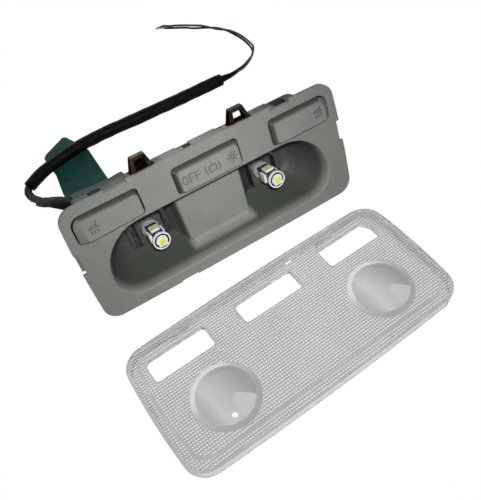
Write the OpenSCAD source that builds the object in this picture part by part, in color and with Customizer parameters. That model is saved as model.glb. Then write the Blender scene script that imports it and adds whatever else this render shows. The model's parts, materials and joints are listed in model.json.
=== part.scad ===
// Car dome light: a moulded bezel with a reflector bowl, three rocker switches and
// two lamps, shown with its prismatic lens taken off and its harness behind it.
// The bezel stands on its lower edge and on the feet under the bowl.

/* [Bezel plate] */
// Width of the bezel plate
plate_w = 159; // [156:1:180]
// Height of the bezel plate
plate_h = 68.5; // [68:0.5:78]
// Thickness of the bezel plate
plate_t = 2.2; // [1.6:0.1:3]
// Corner radius of the bezel plate
plate_r = 8; // [5:0.5:10]
// Outward bow of the long edges
long_bow = 0.6; // [0:0.1:1.2]
// Outward bow of the short edges
short_bow = 1.1; // [0:0.1:1.5]
// Width of the notches that take the lens hooks
notch_w = 12; // [9:1:14]
// Depth of those notches
notch_d = 2; // [1.5:0.25:2.5]
// Distance of the upper notches from the middle
notch_x = 47; // [44:1:52]
// Height of the side notches above the lower edge
notch_y = 38; // [34:1:42]

/* [Reflector bowl] */
// Width of the bowl at its mouth
bowl_w = 134; // [128:1:138]
// Height of the bowl at its mouth
bowl_h = 39.5; // [38:0.5:41]
// Plate left below the bowl
bowl_margin = 6.5; // [5.5:0.5:8]
// Depth of the bowl below the face
bowl_d = 25; // [23:0.5:28]
// Wall thickness of the moulding
wall = 2; // [1.6:0.1:2.4]
// Width of the pad in the middle of the bowl
saddle_w = 37; // [30:1:40]
// Depth of that pad below the face
saddle_d = 12.5; // [10:0.5:15]
// Height of the rear feet above the plate's lower edge
foot_y = 9.9; // [9:0.1:11]

/* [Rear frame] */
// Depth of the frame wall behind the face
frame_d = 10.5; // [10:0.5:13]
// Thickness of the frame wall
frame_t = 1.5; // [1.2:0.1:2]
// Reach of the frame wall to the left of the middle
frame_l = 68; // [66:0.5:70]
// Reach of the frame wall to the right of the middle
frame_r = 64.5; // [62:0.5:68]
// Set-in of the frame wall from the plate's upper edge
frame_in = 2.2; // [2:0.1:2.8]
// Thickness of the switch carrier
carrier_t = 1.5; // [1.2:0.1:2.5]

/* [Rocker switches] */
// Width of the opening for the centre rocker
centre_w = 38.5; // [34:0.5:40]
// Width of the openings for the side rockers
side_w = 36.5; // [34:0.5:37]
// Height of all three openings
opening_h = 15; // [13:0.5:15.5]
// Distance of the side rockers from the middle
rocker_pitch = 56; // [54:0.5:57]
// Gap between a rocker and its opening
rocker_gap = 0.5; // [0.4:0.05:0.8]
// Height of a rocker's face above the plate
rocker_rise = 4.5; // [3:0.25:6]
// Crown of a rocker's face along its length
rocker_crown = 1.2; // [0.4:0.1:2]
// Rest tilt of the left rocker, outer end up
left_tilt = 3; // [0:0.5:4]
// Diameter of the rocker trunnions
pin_d = 3; // [2.4:0.1:3.4]
// Running clearance round a trunnion
pin_clear = 0.05; // [0.02:0.01:0.08]

/* [Bulbs] */
// Distance of the bulbs from the middle
bulb_x = 36; // [34:0.5:38]
// Diameter of a bulb's front ring
bulb_d = 9.8; // [9:0.1:11]
// Length of a bulb in front of its socket
bulb_len = 20.5; // [17:0.5:21]
// Width of a light chip
chip_w = 5; // [3.5:0.25:5.5]
// Thickness of a light chip
chip_t = 1.3; // [0.8:0.1:1.6]
// Thickness of a bulb's wedge
wedge_t = 2.4; // [2:0.1:3]

/* [Sockets] */
// Width of a socket in the bowl floor
socket_w = 25; // [23:0.5:26]
// Height of a socket in the bowl floor
socket_h = 19; // [17:0.5:20]
// Depth of a socket behind the floor's front
socket_d = 11; // [10:0.5:14]
// Thickness of the contact blades and bus bars
blade_t = 0.5; // [0.4:0.05:0.7]

/* [Spring clips] */
// Width of a clip
clip_w = 12; // [10:0.5:14]
// Height of a clip above the frame
clip_h = 8.4; // [6:0.2:10]
// Thickness of the spring strip
clip_t = 0.5; // [0.4:0.05:0.7]
// Place of the left clip along the bezel
clip_left_x = -30.5; // [-33:0.5:-28]
// Place of the right clip along the bezel
clip_right_x = 25.5; // [24:0.5:30]

/* [Lens] */
// Width of the lens
lens_w = 163; // [160:1:184]
// Height of the lens, measured along its face
lens_h = 74.5; // [74:0.5:84]
// Corner radius of the lens
lens_r = 11; // [8:0.5:14]
// Depth of the lens, rim and face together
lens_d = 7.5; // [6:0.5:10]
// Thickness of the face and rim
lens_t = 1.8; // [1.5:0.1:2.2]
// Width of the border round the raised field
border_w = 5.6; // [4.5:0.1:7]
// Rise of the field above the border
field_rise = 0.6; // [0.3:0.1:1]
// Radius of a spot lens
spot_r = 17; // [14:0.5:18]
// Distance of the spot lenses from the middle
spot_x = 47.7; // [46:0.1:50]
// Rise of a spot lens above the field
spot_rise = 3.4; // [2:0.2:5]
// Width of the centre window
window_w = 35.5; // [32:0.5:37]
// Height of the windows
window_h = 12.5; // [11:0.5:13]
// Turn of the lens on the table
lens_turn = 3.2; // [-5:0.1:8]

/* [Harness] */
// Outer diameter of the harness tube
tube_d = 8.4; // [7:0.1:8.8]
// Diameter of the wire bundle
bundle_d = 3.2; // [2.5:0.1:3.4]
// Diameter of a single lead
lead_d = 1.5; // [1.2:0.1:1.8]
// Width of the tape tab
tape_w = 28.5; // [26:0.5:30]
// Thickness of the tape tab
tape_t = 0.5; // [0.4:0.05:0.8]

/* [Hidden] */

// Smoothness of turned shapes
$fn = 48;
// Steps in each corner of an outline
corner_steps = 7;
// Overlap of solids that are joined, and overrun of cuts
eps = 0.01;
over = 1;
// Clearance of a piece that is fitted by hand
fit = 0.2;

// Placing of the bezel and the lens on the table
bezel_pos = [2.8, 25];
lens_pos = [0, -32.6];
// The line through the plate's rear edge and the feet lies on the table
foot_d = bowl_d + wall;
lean = atan(foot_y / (foot_d - plate_t));

// Rows of the bezel, measured up from its lower edge
bowl_top = bowl_margin + bowl_h;
web = 1.6;
rocker_y = bowl_top + web + opening_h / 2;
frame_top = plate_h - frame_in;
well_t = 1.6;
well_d = 8;
pin_z = -4;
pin_reach = 1.2;

// Draft and rounding of the bowl's walls: [draft, rounding at the floor]
side_form = [0.3, 7];
low_form = [0.35, 6];
high_form = [0.1, 3];
mouth_r_high = 24;
mouth_r_low = 15;

// Sockets and bulbs
socket_y = bowl_margin + bowl_h / 2 + 0.75;
floor_z = -bowl_d;
socket_front = floor_z + 1;
socket_back = socket_front - socket_d;
bulb_seat = socket_front - 1;
bulb_front = socket_front + bulb_len;

// A point of an arc, and a run of them
function on_arc(c, r, a) = c + r * [cos(a), sin(a)];
function arc(c, r, a0, a1, n = corner_steps) =
    [for (i = [0:n]) on_arc(c, r, a0 + (a1 - a0) * i / n)];
// Rectangle from lo to hi with its own radius in each corner:
// lower left, lower right, upper right, upper left
function round_rect(lo, hi, rs) = concat(
    arc([hi.x - rs[1], lo.y + rs[1]], rs[1], -90, 0),
    arc([hi.x - rs[2], hi.y - rs[2]], rs[2], 0, 90),
    arc([lo.x + rs[3], hi.y - rs[3]], rs[3], 90, 180),
    arc([lo.x + rs[0], lo.y + rs[0]], rs[0], 180, 270));
// Points between two others, without the ends
function between(a, b, n) = [for (i = [1:n - 1]) a + (b - a) * i / n];
// Round-cornered rectangle about the middle whose sides bow outwards
function bowed_rect(w, h, r, bow_l, bow_s, n = 8) =
    let (q = round_rect([-w / 2, -h / 2], [w / 2, h / 2], [r, r, r, r]), m = corner_steps + 1,
        ring = [for (c = [0:3]) each concat([for (i = [0:m - 1]) q[c * m + i]],
            between(q[c * m + m - 1], q[((c + 1) % 4) * m], n))])
    [for (p = ring) [
        p.x - sign(p.x) * bow_s * pow(2 * p.y / h, 2) * abs(2 * p.x / w),
        p.y - sign(p.y) * bow_l * pow(2 * p.x / w, 2) * abs(2 * p.y / h)]];

// Solid through rings of equally many points, each at its own height, lowest first
module loft(rings, heights) {
    n = len(rings[0]);
    m = len(rings);
    polyhedron(
        points = [for (k = [0:m - 1]) each [for (p = rings[k]) [p.x, p.y, heights[k]]]],
        faces = concat(
            [[for (i = [0:n - 1]) i]],
            [[for (i = [0:n - 1]) (m - 1) * n + n - 1 - i]],
            [for (k = [0:m - 2]) each [for (i = [0:n - 1])
                [k * n + i, (k + 1) * n + i, (k + 1) * n + (i + 1) % n, k * n + (i + 1) % n]]]),
        convexity = 6);
}

// The bezel's own frame: x along it, y up its face, z out of its face
module on_bezel()
    translate([bezel_pos.x, bezel_pos.y, plate_t * sin(lean)])
    rotate([90 - lean, 0, 0])
    children();

// The lens's own frame: its middle, with z up from the table
module on_lens() translate([lens_pos.x, lens_pos.y, 0]) rotate(lens_turn) children();

// A profile drawn as [z, y] in the bezel's frame, extruded along x about a place
module across(x, w) translate([x - w / 2, 0, 0]) rotate([90, 0, 90])
    linear_extrude(w) mirror([1, -1, 0]) children();

// Outline of a strip of even thickness along a line of points, mitred at its bends
function unit(v) = v / norm(v);
function side_of(a, b) = let (d = unit(b - a)) [-d.y, d.x];
function mitre(p, i) = let (m = len(p) - 1,
        a = side_of(p[i == 0 ? 0 : i - 1], p[i == 0 ? 1 : i]),
        b = side_of(p[i == m ? m - 1 : i], p[i == m ? m : i + 1]))
    (a + b) / (1 + a * b);
function band(p, t) = concat(
    [for (i = [0:len(p) - 1]) p[i] + mitre(p, i) * t / 2],
    [for (i = [len(p) - 1:-1:0]) p[i] - mitre(p, i) * t / 2]);

// Set-in of a bowl wall at a depth
function set_in(d, depth, form) =
    form[0] * d + form[1] * (1 - sqrt(max(0, 1 - pow(d / depth, 2))));
// One ring of the bowl at a depth, grown outwards for the outer skin
function bowl_ring(d, depth, grow) =
    let (s = set_in(d, depth, side_form) - grow, lo = set_in(d, depth, low_form) - grow,
        hi = set_in(d, depth, high_form) - grow,
        r_hi = mouth_r_high - set_in(d, depth, side_form) + grow,
        r_lo = mouth_r_low - set_in(d, depth, low_form) / 2 + grow)
    round_rect([-bowl_w / 2 + s, bowl_margin + lo], [bowl_w / 2 - s, bowl_top - hi],
        [r_lo, r_lo, r_hi, r_hi]);
// Bowl solid from its front back to a depth, with the mouth's edge rounded by a lip
bowl_steps = 7;
lip_r = 0.8;
module bowl_solid(depth, grow, front, lip) {
    depths = [for (i = [bowl_steps:-1:1]) depth * sin(90 * i / bowl_steps)];
    turns = lip > 0 ? [0, 30, 60, 90] : [90];
    loft(concat([for (d = depths) bowl_ring(d, depth, grow)],
            [for (a = turns) bowl_ring(lip * (1 - sin(a)), depth, grow + lip * (1 - cos(a)))],
            [bowl_ring(0, depth, grow + lip)]),
        concat([for (d = depths) -d], [for (a = turns) -lip * (1 - sin(a)) - eps], [front]));
}
// The bowl's hollow, with the pad standing in it
module bowl_hollow() difference() {
    bowl_solid(bowl_d, 0, over, lip_r);
    saddle_solid(0, bowl_margin - 1 - lip_r, bowl_top + over);
    saddle_cove();
}
// Pad in the middle of the bowl: narrower towards its foot, with rounded edges and flanks that
// flare to the floor. Each step is [depth below the pad's face, width beyond it]
saddle_taper = 1.8;
saddle_web = 9;
saddle_flare = [[0, -1.2], [0.3, -0.4], [1.1, 0.2], [3.5, 0.9], [7, 2.4], [10, 4.8], [12.5, 8], [14, 11]];
module saddle_solid(inset, y0, y1) {
    half = saddle_w / 2 - inset;
    last = len(saddle_flare) - 1;
    rings = [for (f = [last:-1:0]) let (e = saddle_flare[f][1])
        [[-half - e, y0], [half + e, y0], [half + saddle_taper + e, y1],
            [-half - saddle_taper - e, y1]]];
    loft(rings, [for (f = [last:-1:0]) -saddle_d - inset - saddle_flare[f][0]]);
}
// Cove between the pad's foot and the bowl's lower wall
cove_r = 2.2;
module saddle_cove() {
    wall_y = bowl_margin + set_in(saddle_d, bowl_d, low_form);
    across(0, saddle_w - 2) polygon(concat(
        [[-saddle_d - 1, wall_y - 3], [-saddle_d - 1, wall_y + cove_r]],
        [for (a = [180:-15:90]) [-saddle_d + cove_r * (1 + cos(a)), wall_y + cove_r * (1 - sin(a))]
            - [0, cove_r * (1 + cos(a)) * low_form[0]]],
        [[-saddle_d + cove_r, wall_y - 3]]));
}

// Openings of the rockers: the outer upper corner of a side opening is rounder
function opening_outline(w, grow, r_left, r_right) =
    round_rect([-w / 2 - grow, -opening_h / 2 - grow], [w / 2 + grow, opening_h / 2 + grow],
        [2 + grow, 2 + grow, r_right + grow, r_left + grow]);
centre_r = 2.5;
outer_r = 5.5;
module at_left() translate([-rocker_pitch, rocker_y, 0]) children();
module at_centre() translate([0, rocker_y, 0]) children();
module at_right() translate([rocker_pitch, rocker_y, 0]) children();
module openings_2d(grow) {
    at_left() polygon(opening_outline(side_w, grow, outer_r, centre_r));
    at_centre() polygon(opening_outline(centre_w, grow, centre_r, centre_r));
    at_right() polygon(opening_outline(side_w, grow, centre_r, outer_r));
}

// Frame wall outline: square at the left, rounded at the right
frame_corner_r = 8;
frame_low = bowl_top;
module frame_2d(inset)
    polygon(round_rect([-frame_l + inset, frame_low + inset], [frame_r - inset, frame_top - inset],
        [1, 1, frame_corner_r - inset, 1]));
// Slots through the frame's upper wall: [place, width]
frame_slots = [[-56.2, 6.5], [-3.5, 6], [50, 7.5]];

// Socket mouth in the bowl floor
module at_bulb(side) translate([side * bulb_x, socket_y, 0]) children();

// Feet under the bowl, seen from the side as [z, y]
foot_t = 2.4;
foot_x = 30;
module foot(x) across(x, foot_t)
    polygon([[-plate_t + eps, 3], [-foot_d, foot_y], [-foot_d, foot_y + 11],
        [-plate_t + eps, bowl_margin + 2]]);

// Catches behind the side notches, posts and seats of the clips, pry notch
catch_in = 2;
catch_out = 1.4;
catch_t = 1.6;
post_w = 2.2;
post_in = 1;
post_rise = 0.9;
post_gap = 1;
clip_seat = 0.7;
clip_relief = 0.4;
pry_x = -30;
pry_w = 10;
pry_d = 0.8;

module plate_2d() difference() {
    translate([0, plate_h / 2]) polygon(bowed_rect(plate_w, plate_h, plate_r, long_bow, short_bow));
    translate([pry_x, 0]) square([pry_w, 2 * pry_d], center = true);
    for (s = [-1, 1]) {
        translate([s * plate_w / 2, notch_y]) square([2 * notch_d, notch_w], center = true);
        translate([s * notch_x, plate_h]) square([notch_w, 2 * notch_d], center = true);
    }
    openings_2d(0);
}

module housing() color([0.53, 0.53, 0.51]) on_bezel() difference() {
    union() {
        translate([0, 0, -plate_t]) linear_extrude(plate_t) plate_2d();
        // Bowl skin, with the pad left standing in it
        difference() {
            bowl_solid(bowl_d + wall, wall, 0, 0);
            bowl_hollow();
        }
        // Wells round the rocker openings
        translate([0, 0, -well_d]) linear_extrude(well_d - plate_t + eps) difference() {
            openings_2d(well_t);
            openings_2d(0);
        }
        // Frame wall round the switches
        translate([0, 0, -frame_d]) linear_extrude(frame_d - plate_t + eps) difference() {
            frame_2d(0);
            frame_2d(frame_t);
        }
        for (s = [-1, 1]) {
            foot(s * foot_x);
            // Catch behind each side notch
            translate([s * (plate_w / 2 - notch_d - catch_in / 2 + catch_out / 2), notch_y,
                    -plate_t - catch_t / 2 + eps])
                cube([catch_in + catch_out, notch_w - 3, catch_t], center = true);
        }
        // Posts on the frame and the plate's back at both sides of each clip
        for (x = [clip_left_x, clip_right_x], s = [-1, 1])
            translate([x + s * (clip_w / 2 + post_gap + post_w / 2) - post_w / 2,
                    frame_top - frame_t, -frame_d + post_in])
                cube([post_w, frame_t + post_rise, frame_d - post_in - plate_t + eps]);
    }
    // Seat of each clip in the frame's wall, and the plate's relief in front of it
    for (x = [clip_left_x, clip_right_x]) {
        translate([x - clip_w / 2 - post_gap, frame_top - clip_seat, -frame_d - over])
            cube([clip_w + 2 * post_gap, clip_seat + over, frame_d + over - plate_t]);
        translate([x - clip_w / 2 - post_gap, frame_top - clip_seat, -plate_t - over])
            cube([clip_w + 2 * post_gap, plate_h, over + clip_relief]);
    }
    // Bowl mouth through the plate
    bowl_hollow();
    // The pad is hollow behind
    saddle_hollow();
    // Wells stay open where the frame's lower wall passes
    translate([0, 0, -frame_d - over]) linear_extrude(frame_d + 2 * over) openings_2d(0);
    // Blind bores for the rocker trunnions
    for (x = [-rocker_pitch, 0, rocker_pitch]) translate([x, rocker_y, pin_z]) rotate([90, 0, 0])
        cylinder(d = pin_d + 2 * pin_clear, h = opening_h + 2 * (pin_reach + fit), center = true);
    // Slots in the frame's upper wall
    for (f = frame_slots) translate([f[0] - f[1] / 2, frame_top - frame_t - over, -frame_d - over])
        cube([f[1], frame_t + 2 * over, frame_d - plate_t - 1 + over]);
    // Socket mouths
    for (s = [-1, 1]) at_bulb(s) translate([0, 0, floor_z - wall - over]) linear_extrude(wall + 3 * over)
        square([socket_w + 2 * fit, socket_h + 2 * fit], center = true);
}
module saddle_hollow() intersection() {
    saddle_solid(wall, 0, plate_h);
    translate([-bowl_w / 2, bowl_margin + saddle_web, -bowl_d - wall - over])
        cube([bowl_w, bowl_h - saddle_web - wall * 2, bowl_d]);
}

// One rocker about its pivot: a hollow cap with sloped flanks, a crowned face,
// a middle fin and two trunnions. The runs are how far each flank slopes in.
skirt = -3.5;
fin_w = 3;
fin_reach = 4;
module rocker(w, run_l, run_r, r_left, r_right) {
    hw = w / 2 - rocker_gap;
    hh = opening_h / 2 - rocker_gap;
    run_y = 1.7;
    face = rocker_rise - pin_z;
    base = -pin_z;
    bend = 0.6;
    shell = 1.4;
    crown_r = pow(w / 2, 2) / (2 * rocker_crown);
    function ring(il, ir, iy, k) = round_rect([-hw + il, -hh + iy], [hw - ir, hh - iy],
        [1.8 * k, 1.8 * k, r_right * k, r_left * k]);
    difference() {
        intersection() {
            loft([ring(0, 0, 0, 1), ring(0, 0, 0, 1),
                    ring(run_l - bend, run_r - bend, run_y - bend / 2, 0.85),
                    ring(run_l, run_r, run_y, 0.8)],
                [skirt, base, face - bend, face]);
            translate([0, 0, face - crown_r]) rotate([90, 0, 0])
                cylinder(r = crown_r, h = opening_h, center = true, $fn = 192);
        }
        loft([ring(shell, shell, shell, 0.6), ring(shell, shell, shell, 0.6),
                ring(run_l + shell, run_r + shell, run_y + shell, 0.5)],
            [skirt - over, base, face - shell - rocker_crown]);
    }
    // Fin that works the contact spring
    translate([-fin_w / 2, -hh + shell - eps, -fin_reach])
        cube([fin_w, 2 * (hh - shell + eps), fin_reach + face - shell - rocker_crown]);
    // Trunnions
    for (s = [-1, 1]) rotate([s * 90, 0, 0]) translate([0, 0, hh - shell])
        cylinder(d = pin_d, h = shell + rocker_gap + pin_reach);
}
module left_rocker() color([0.55, 0.55, 0.53]) on_bezel() at_left() translate([0, 0, pin_z])
    rotate([0, left_tilt, 0]) rocker(side_w, 4.5, 2, outer_r, centre_r);
module centre_rocker() color([0.55, 0.55, 0.53]) on_bezel() at_centre() translate([0, 0, pin_z])
    rocker(centre_w, 2.5, 2.5, centre_r, centre_r);
module right_rocker() color([0.55, 0.55, 0.53]) on_bezel() at_right() translate([0, 0, pin_z])
    rocker(side_w, 2.5, 4, centre_r, outer_r);

// Carrier plate that closes the frame behind the switches, with a rib beside each
// contact spring, studs for the bus bars and a guide for the harness
carrier_front = -frame_d;
carrier_back = carrier_front - carrier_t;
carrier_low = bowl_top + wall - set_in(frame_d, foot_d, high_form) + 0.3;
spring_w = 5;
spring_chord = 24;
rib_t = 1;
bar_studs = [-rocker_pitch + 22, -spring_chord / 2, spring_chord / 2, rocker_pitch - 6];
stud_d = 2;
stud_head_d = 3.2;
stud_head_t = 0.5;
guide_size = [10, 5.5, 3];
guide_x = -frame_l + guide_size.x / 2 + 0.2;
guide_y = rocker_y + 0.1;
module switch_carrier() color([0.2, 0.2, 0.2]) on_bezel() {
    translate([0, 0, carrier_back]) linear_extrude(carrier_t) intersection() {
        frame_2d(0);
        translate([-frame_l, carrier_low]) square([frame_l + frame_r, plate_h]);
    }
    for (x = [-rocker_pitch, 0, rocker_pitch], s = [-1, 1])
        translate([x - spring_chord / 2, rocker_y + s * (spring_w / 2 + fit + rib_t / 2) - rib_t / 2,
                carrier_front - eps])
            cube([spring_chord, rib_t, 1.5]);
    for (x = bar_studs, y = [feed_y, ground_y])
        translate([x, y, carrier_back - blade_t]) {
            cylinder(d = stud_d, h = blade_t + eps);
            translate([0, 0, -stud_head_t]) cylinder(d1 = stud_head_d - 1, d2 = stud_head_d, h = stud_head_t);
        }
    translate([guide_x - guide_size.x / 2, guide_y - guide_size.y / 2, carrier_back - guide_size.z])
        cube([guide_size.x, guide_size.y, guide_size.z + eps]);
}

// Bus bars on the back of the carrier, with a leg down to each socket
feed_y = rocker_y + 4.5;
ground_y = rocker_y - 3.5;
bar_w = 4;
leg_w = 3;
blade_x = 8;
leg_y = bowl_top + wall + 0.6;
leg_back = socket_back - 2.5 * blade_t;
leg_drop = 12;
leg_stand = 5;
bar_end = 3;
module bus_bar(y, side, x0, x1, joggle) {
    bar_z = carrier_back - blade_t / 2;
    difference() {
        translate([x0, y - bar_w / 2, carrier_back - blade_t]) cube([x1 - x0, bar_w, blade_t]);
        for (x = bar_studs) translate([x, y, carrier_back - blade_t - over])
            cylinder(d = stud_d + 2 * fit, h = blade_t + 2 * over);
    }
    // Leg down the bar's side, back along the bowl and down behind the socket
    for (b = [-1, 1]) across(b * bulb_x + side * blade_x, leg_w) polygon(band([
        [bar_z, y - bar_w / 2 + eps], [bar_z, y - bar_w / 2 - 0.6],
        [bar_z - joggle, y - bar_w / 2 - 0.6 - joggle], [bar_z - joggle, leg_y],
        [floor_z + leg_stand, leg_y], [leg_back, leg_y - leg_drop], [leg_back, socket_y - 2]], blade_t));
}
module feed_bus_bar() color([0.72, 0.58, 0.3]) on_bezel()
    bus_bar(feed_y, -1, -rocker_pitch - 1, rocker_pitch - bar_end, 3 * blade_t);
module ground_bus_bar() color([0.72, 0.58, 0.3]) on_bezel()
    bus_bar(ground_y, 1, -rocker_pitch + bar_end, rocker_pitch, 0.1);

// Bowed contact spring under a rocker's fin
spring_t = 0.3;
module contact_spring() {
    rise = pin_z - fin_reach - 0.3 - carrier_front;
    r = (pow(spring_chord / 2, 2) + pow(rise, 2)) / (2 * rise);
    translate([0, spring_w / 2, carrier_front + rise - r]) rotate([90, 0, 0]) intersection() {
        difference() {
            cylinder(r = r, h = spring_w, $fn = 160);
            translate([0, 0, -over]) cylinder(r = r - spring_t, h = spring_w + 2 * over, $fn = 160);
        }
        translate([-spring_chord / 2 - 1, r - rise, -over])
            cube([spring_chord + 2, rise + over, spring_w + 2 * over]);
    }
}
module left_contact_spring() color([0.7, 0.5, 0.3]) on_bezel() at_left() contact_spring();
module centre_contact_spring() color([0.7, 0.5, 0.3]) on_bezel() at_centre() contact_spring();
module right_contact_spring() color([0.7, 0.5, 0.3]) on_bezel() at_right() contact_spring();

// Socket block in the bowl floor, with a slot for the wedge and one for each blade
wedge_w = 9.2;
wedge_len = 9;
module bulb_socket() difference() {
    union() {
        translate([-socket_w / 2, -socket_h / 2, socket_back]) cube([socket_w, socket_h, socket_d]);
        // Flange behind the floor
        translate([-socket_w / 2 - 1.5, -socket_h / 2 - 1.5, floor_z - wall - 2])
            cube([socket_w + 3, socket_h + 3, 2]);
    }
    translate([-wedge_w / 2 - fit, -wedge_t / 2 - wire_d - fit, bulb_seat - wedge_len - fit])
        cube([wedge_w + 2 * fit, wedge_t + 2 * wire_d + 2 * fit, wedge_len + over]);
    translate([0, 0, bulb_seat]) cylinder(d = bulb_d + 1.4, h = 2);
    for (s = [-1, 1]) translate([s * blade_x - blade_t / 2 - fit / 2, -tail_w / 2 - fit / 2, socket_back - over])
        cube([blade_t + fit, tail_w + fit, socket_d + 2 * over]);
    // Pockets for a tool in the lower corners
    for (s = [-1, 1]) translate([s * (socket_w / 2 - 1.5) - 1, -socket_h / 2 + 1, socket_front - 2])
        cube([2, 3, 3]);
}
module left_bulb_socket() color([0.3, 0.3, 0.3]) on_bezel() at_bulb(-1) bulb_socket();
module right_bulb_socket() color([0.3, 0.3, 0.3]) on_bezel() at_bulb(1) bulb_socket();

// Pair of contact blades: a strip flat on the socket, a bent-up grip and a tail
grip_h = 5.5;
grip_w = 12;
strip_w = 3;
tail_w = 6;
module socket_blades() for (s = [-1, 1]) {
    translate([s * blade_x - (s > 0 ? blade_t / 2 : strip_w - blade_t / 2), -socket_h / 2 + 1, socket_front])
        cube([strip_w, socket_h - 2, blade_t]);
    translate([s * blade_x - blade_t / 2, -grip_w / 2, socket_front]) cube([blade_t, grip_w, grip_h]);
    translate([s * blade_x - blade_t / 2, -tail_w / 2, socket_back - 2 * blade_t])
        cube([blade_t, tail_w, socket_d + 2 * blade_t + eps]);
}
module left_socket_blades() color([0.75, 0.75, 0.72]) on_bezel() at_bulb(-1) socket_blades();
module right_socket_blades() color([0.75, 0.75, 0.72]) on_bezel() at_bulb(1) socket_blades();

// Wedge base of a bulb with its round collar
collar_t = 4;
module bulb_base() {
    translate([-wedge_w / 2, -wedge_t / 2, bulb_seat - wedge_len]) cube([wedge_w, wedge_t, wedge_len + eps]);
    translate([0, 0, bulb_seat]) cylinder(d = bulb_d, h = collar_t);
    translate([0, 0, bulb_seat + collar_t - eps]) cylinder(d = bulb_d - 1.4, h = 1 + eps);
}
module left_bulb_base() color([0.6, 0.6, 0.6]) on_bezel() at_bulb(-1) bulb_base();
module right_bulb_base() color([0.6, 0.6, 0.6]) on_bezel() at_bulb(1) bulb_base();

// Wires folded up the flat sides of the wedge
wire_d = 0.5;
module bulb_leads() for (s = [-1, 1])
    translate([s * wedge_w / 4, s * (wedge_t + wire_d) / 2, bulb_seat - wedge_len + 1])
        cylinder(d = wire_d, h = wedge_len - 1, $fn = 16);
module left_bulb_leads() color([0.8, 0.8, 0.8]) on_bezel() at_bulb(-1) bulb_leads();
module right_bulb_leads() color([0.8, 0.8, 0.8]) on_bezel() at_bulb(1) bulb_leads();

// Four-sided board column between the collar and the front board
core_w = bulb_d / sqrt(2) - 0.6;
core_z = bulb_seat + collar_t + 1;
front_t = 1.2;
module bulb_core() translate([0, 0, core_z]) difference() {
    translate([-core_w / 2, -core_w / 2, 0]) cube([core_w, core_w, bulb_front - front_t - core_z]);
    translate([-core_w / 2 + 1, -core_w / 2 + 1, 1]) cube([core_w - 2, core_w - 2, bulb_len]);
}
module left_bulb_core() color([0.15, 0.15, 0.15]) on_bezel() at_bulb(-1) bulb_core();
module right_bulb_core() color([0.15, 0.15, 0.15]) on_bezel() at_bulb(1) bulb_core();

// Round front board with four notches
module bulb_front_board() translate([0, 0, bulb_front - front_t]) difference() {
    cylinder(d = bulb_d, h = front_t);
    for (a = [0, 180]) rotate(a) translate([bulb_d / 2 - 0.9, 0, -over])
        cylinder(d = 1.1, h = front_t + 2 * over, $fn = 24);
}
module left_bulb_front() color([0.9, 0.9, 0.92]) on_bezel() at_bulb(-1) bulb_front_board();
module right_bulb_front() color([0.9, 0.9, 0.92]) on_bezel() at_bulb(1) bulb_front_board();

// Five light chips: one in front and one on each side
module chip(w) translate([-w / 2, -w / 2, 0]) cube([w, w, chip_t]);
module bulb_chips() {
    translate([0, 0, bulb_front]) chip(chip_w);
    for (a = [0:90:270]) rotate(a)
        translate([core_w / 2, 0, (core_z + bulb_front - front_t) / 2]) rotate([0, 90, 0]) chip(chip_w);
}
module left_bulb_chips() color([0.85, 0.9, 0.3]) on_bezel() at_bulb(-1) bulb_chips();
module right_bulb_chips() color([0.85, 0.9, 0.3]) on_bezel() at_bulb(1) bulb_chips();

// Folded spring clip astride the frame's upper wall: a strip drawn in [z, y], tapered
// to its crest, with a window in each leg
clip_foot = [-3.2, -frame_d + 0.6];
clip_crest = [-4.8, -8.4];
clip_toe = 0.9;
crest_w = 7.6;
window_low = 2.3;
window_high = 1.8;
window_side = 2.6;
module clip_strip() {
    y0 = frame_top - clip_seat;
    y1 = frame_top + clip_h;
    difference() {
        polygon([[clip_foot[0] + clip_toe, y0], [clip_foot[0] + clip_toe, y0 + clip_t],
            [clip_foot[0], y0 + clip_t], [clip_crest[0], y1], [clip_crest[1], y1],
            [clip_foot[1], y0 + clip_t], [clip_foot[1], y0]]);
        polygon([[clip_foot[0] - clip_t, y0 - eps], [clip_crest[0] - clip_t * 0.8, y1 - clip_t],
            [clip_crest[1] + clip_t * 0.8, y1 - clip_t], [clip_foot[1] + clip_t, y0 - eps]]);
    }
}
module spring_clip(x) intersection() {
    across(x, clip_w) clip_strip();
    translate([x, frame_top - clip_seat, -frame_d - over]) linear_extrude(frame_d + over) difference() {
        polygon([[-clip_w / 2, 0], [clip_w / 2, 0], [clip_w / 2, clip_seat + 1],
            [crest_w / 2, clip_seat + clip_h], [-crest_w / 2, clip_seat + clip_h],
            [-clip_w / 2, clip_seat + 1]]);
        polygon([[-clip_w / 2 + window_side, window_low], [clip_w / 2 - window_side, window_low],
            [crest_w / 2 - window_side * 0.5, clip_seat + clip_h - window_high],
            [-crest_w / 2 + window_side * 0.5, clip_seat + clip_h - window_high]]);
    }
}
module left_spring_clip() color([0.5, 0.42, 0.28]) on_bezel() spring_clip(clip_left_x);
module right_spring_clip() color([0.5, 0.42, 0.28]) on_bezel() spring_clip(clip_right_x);

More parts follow.
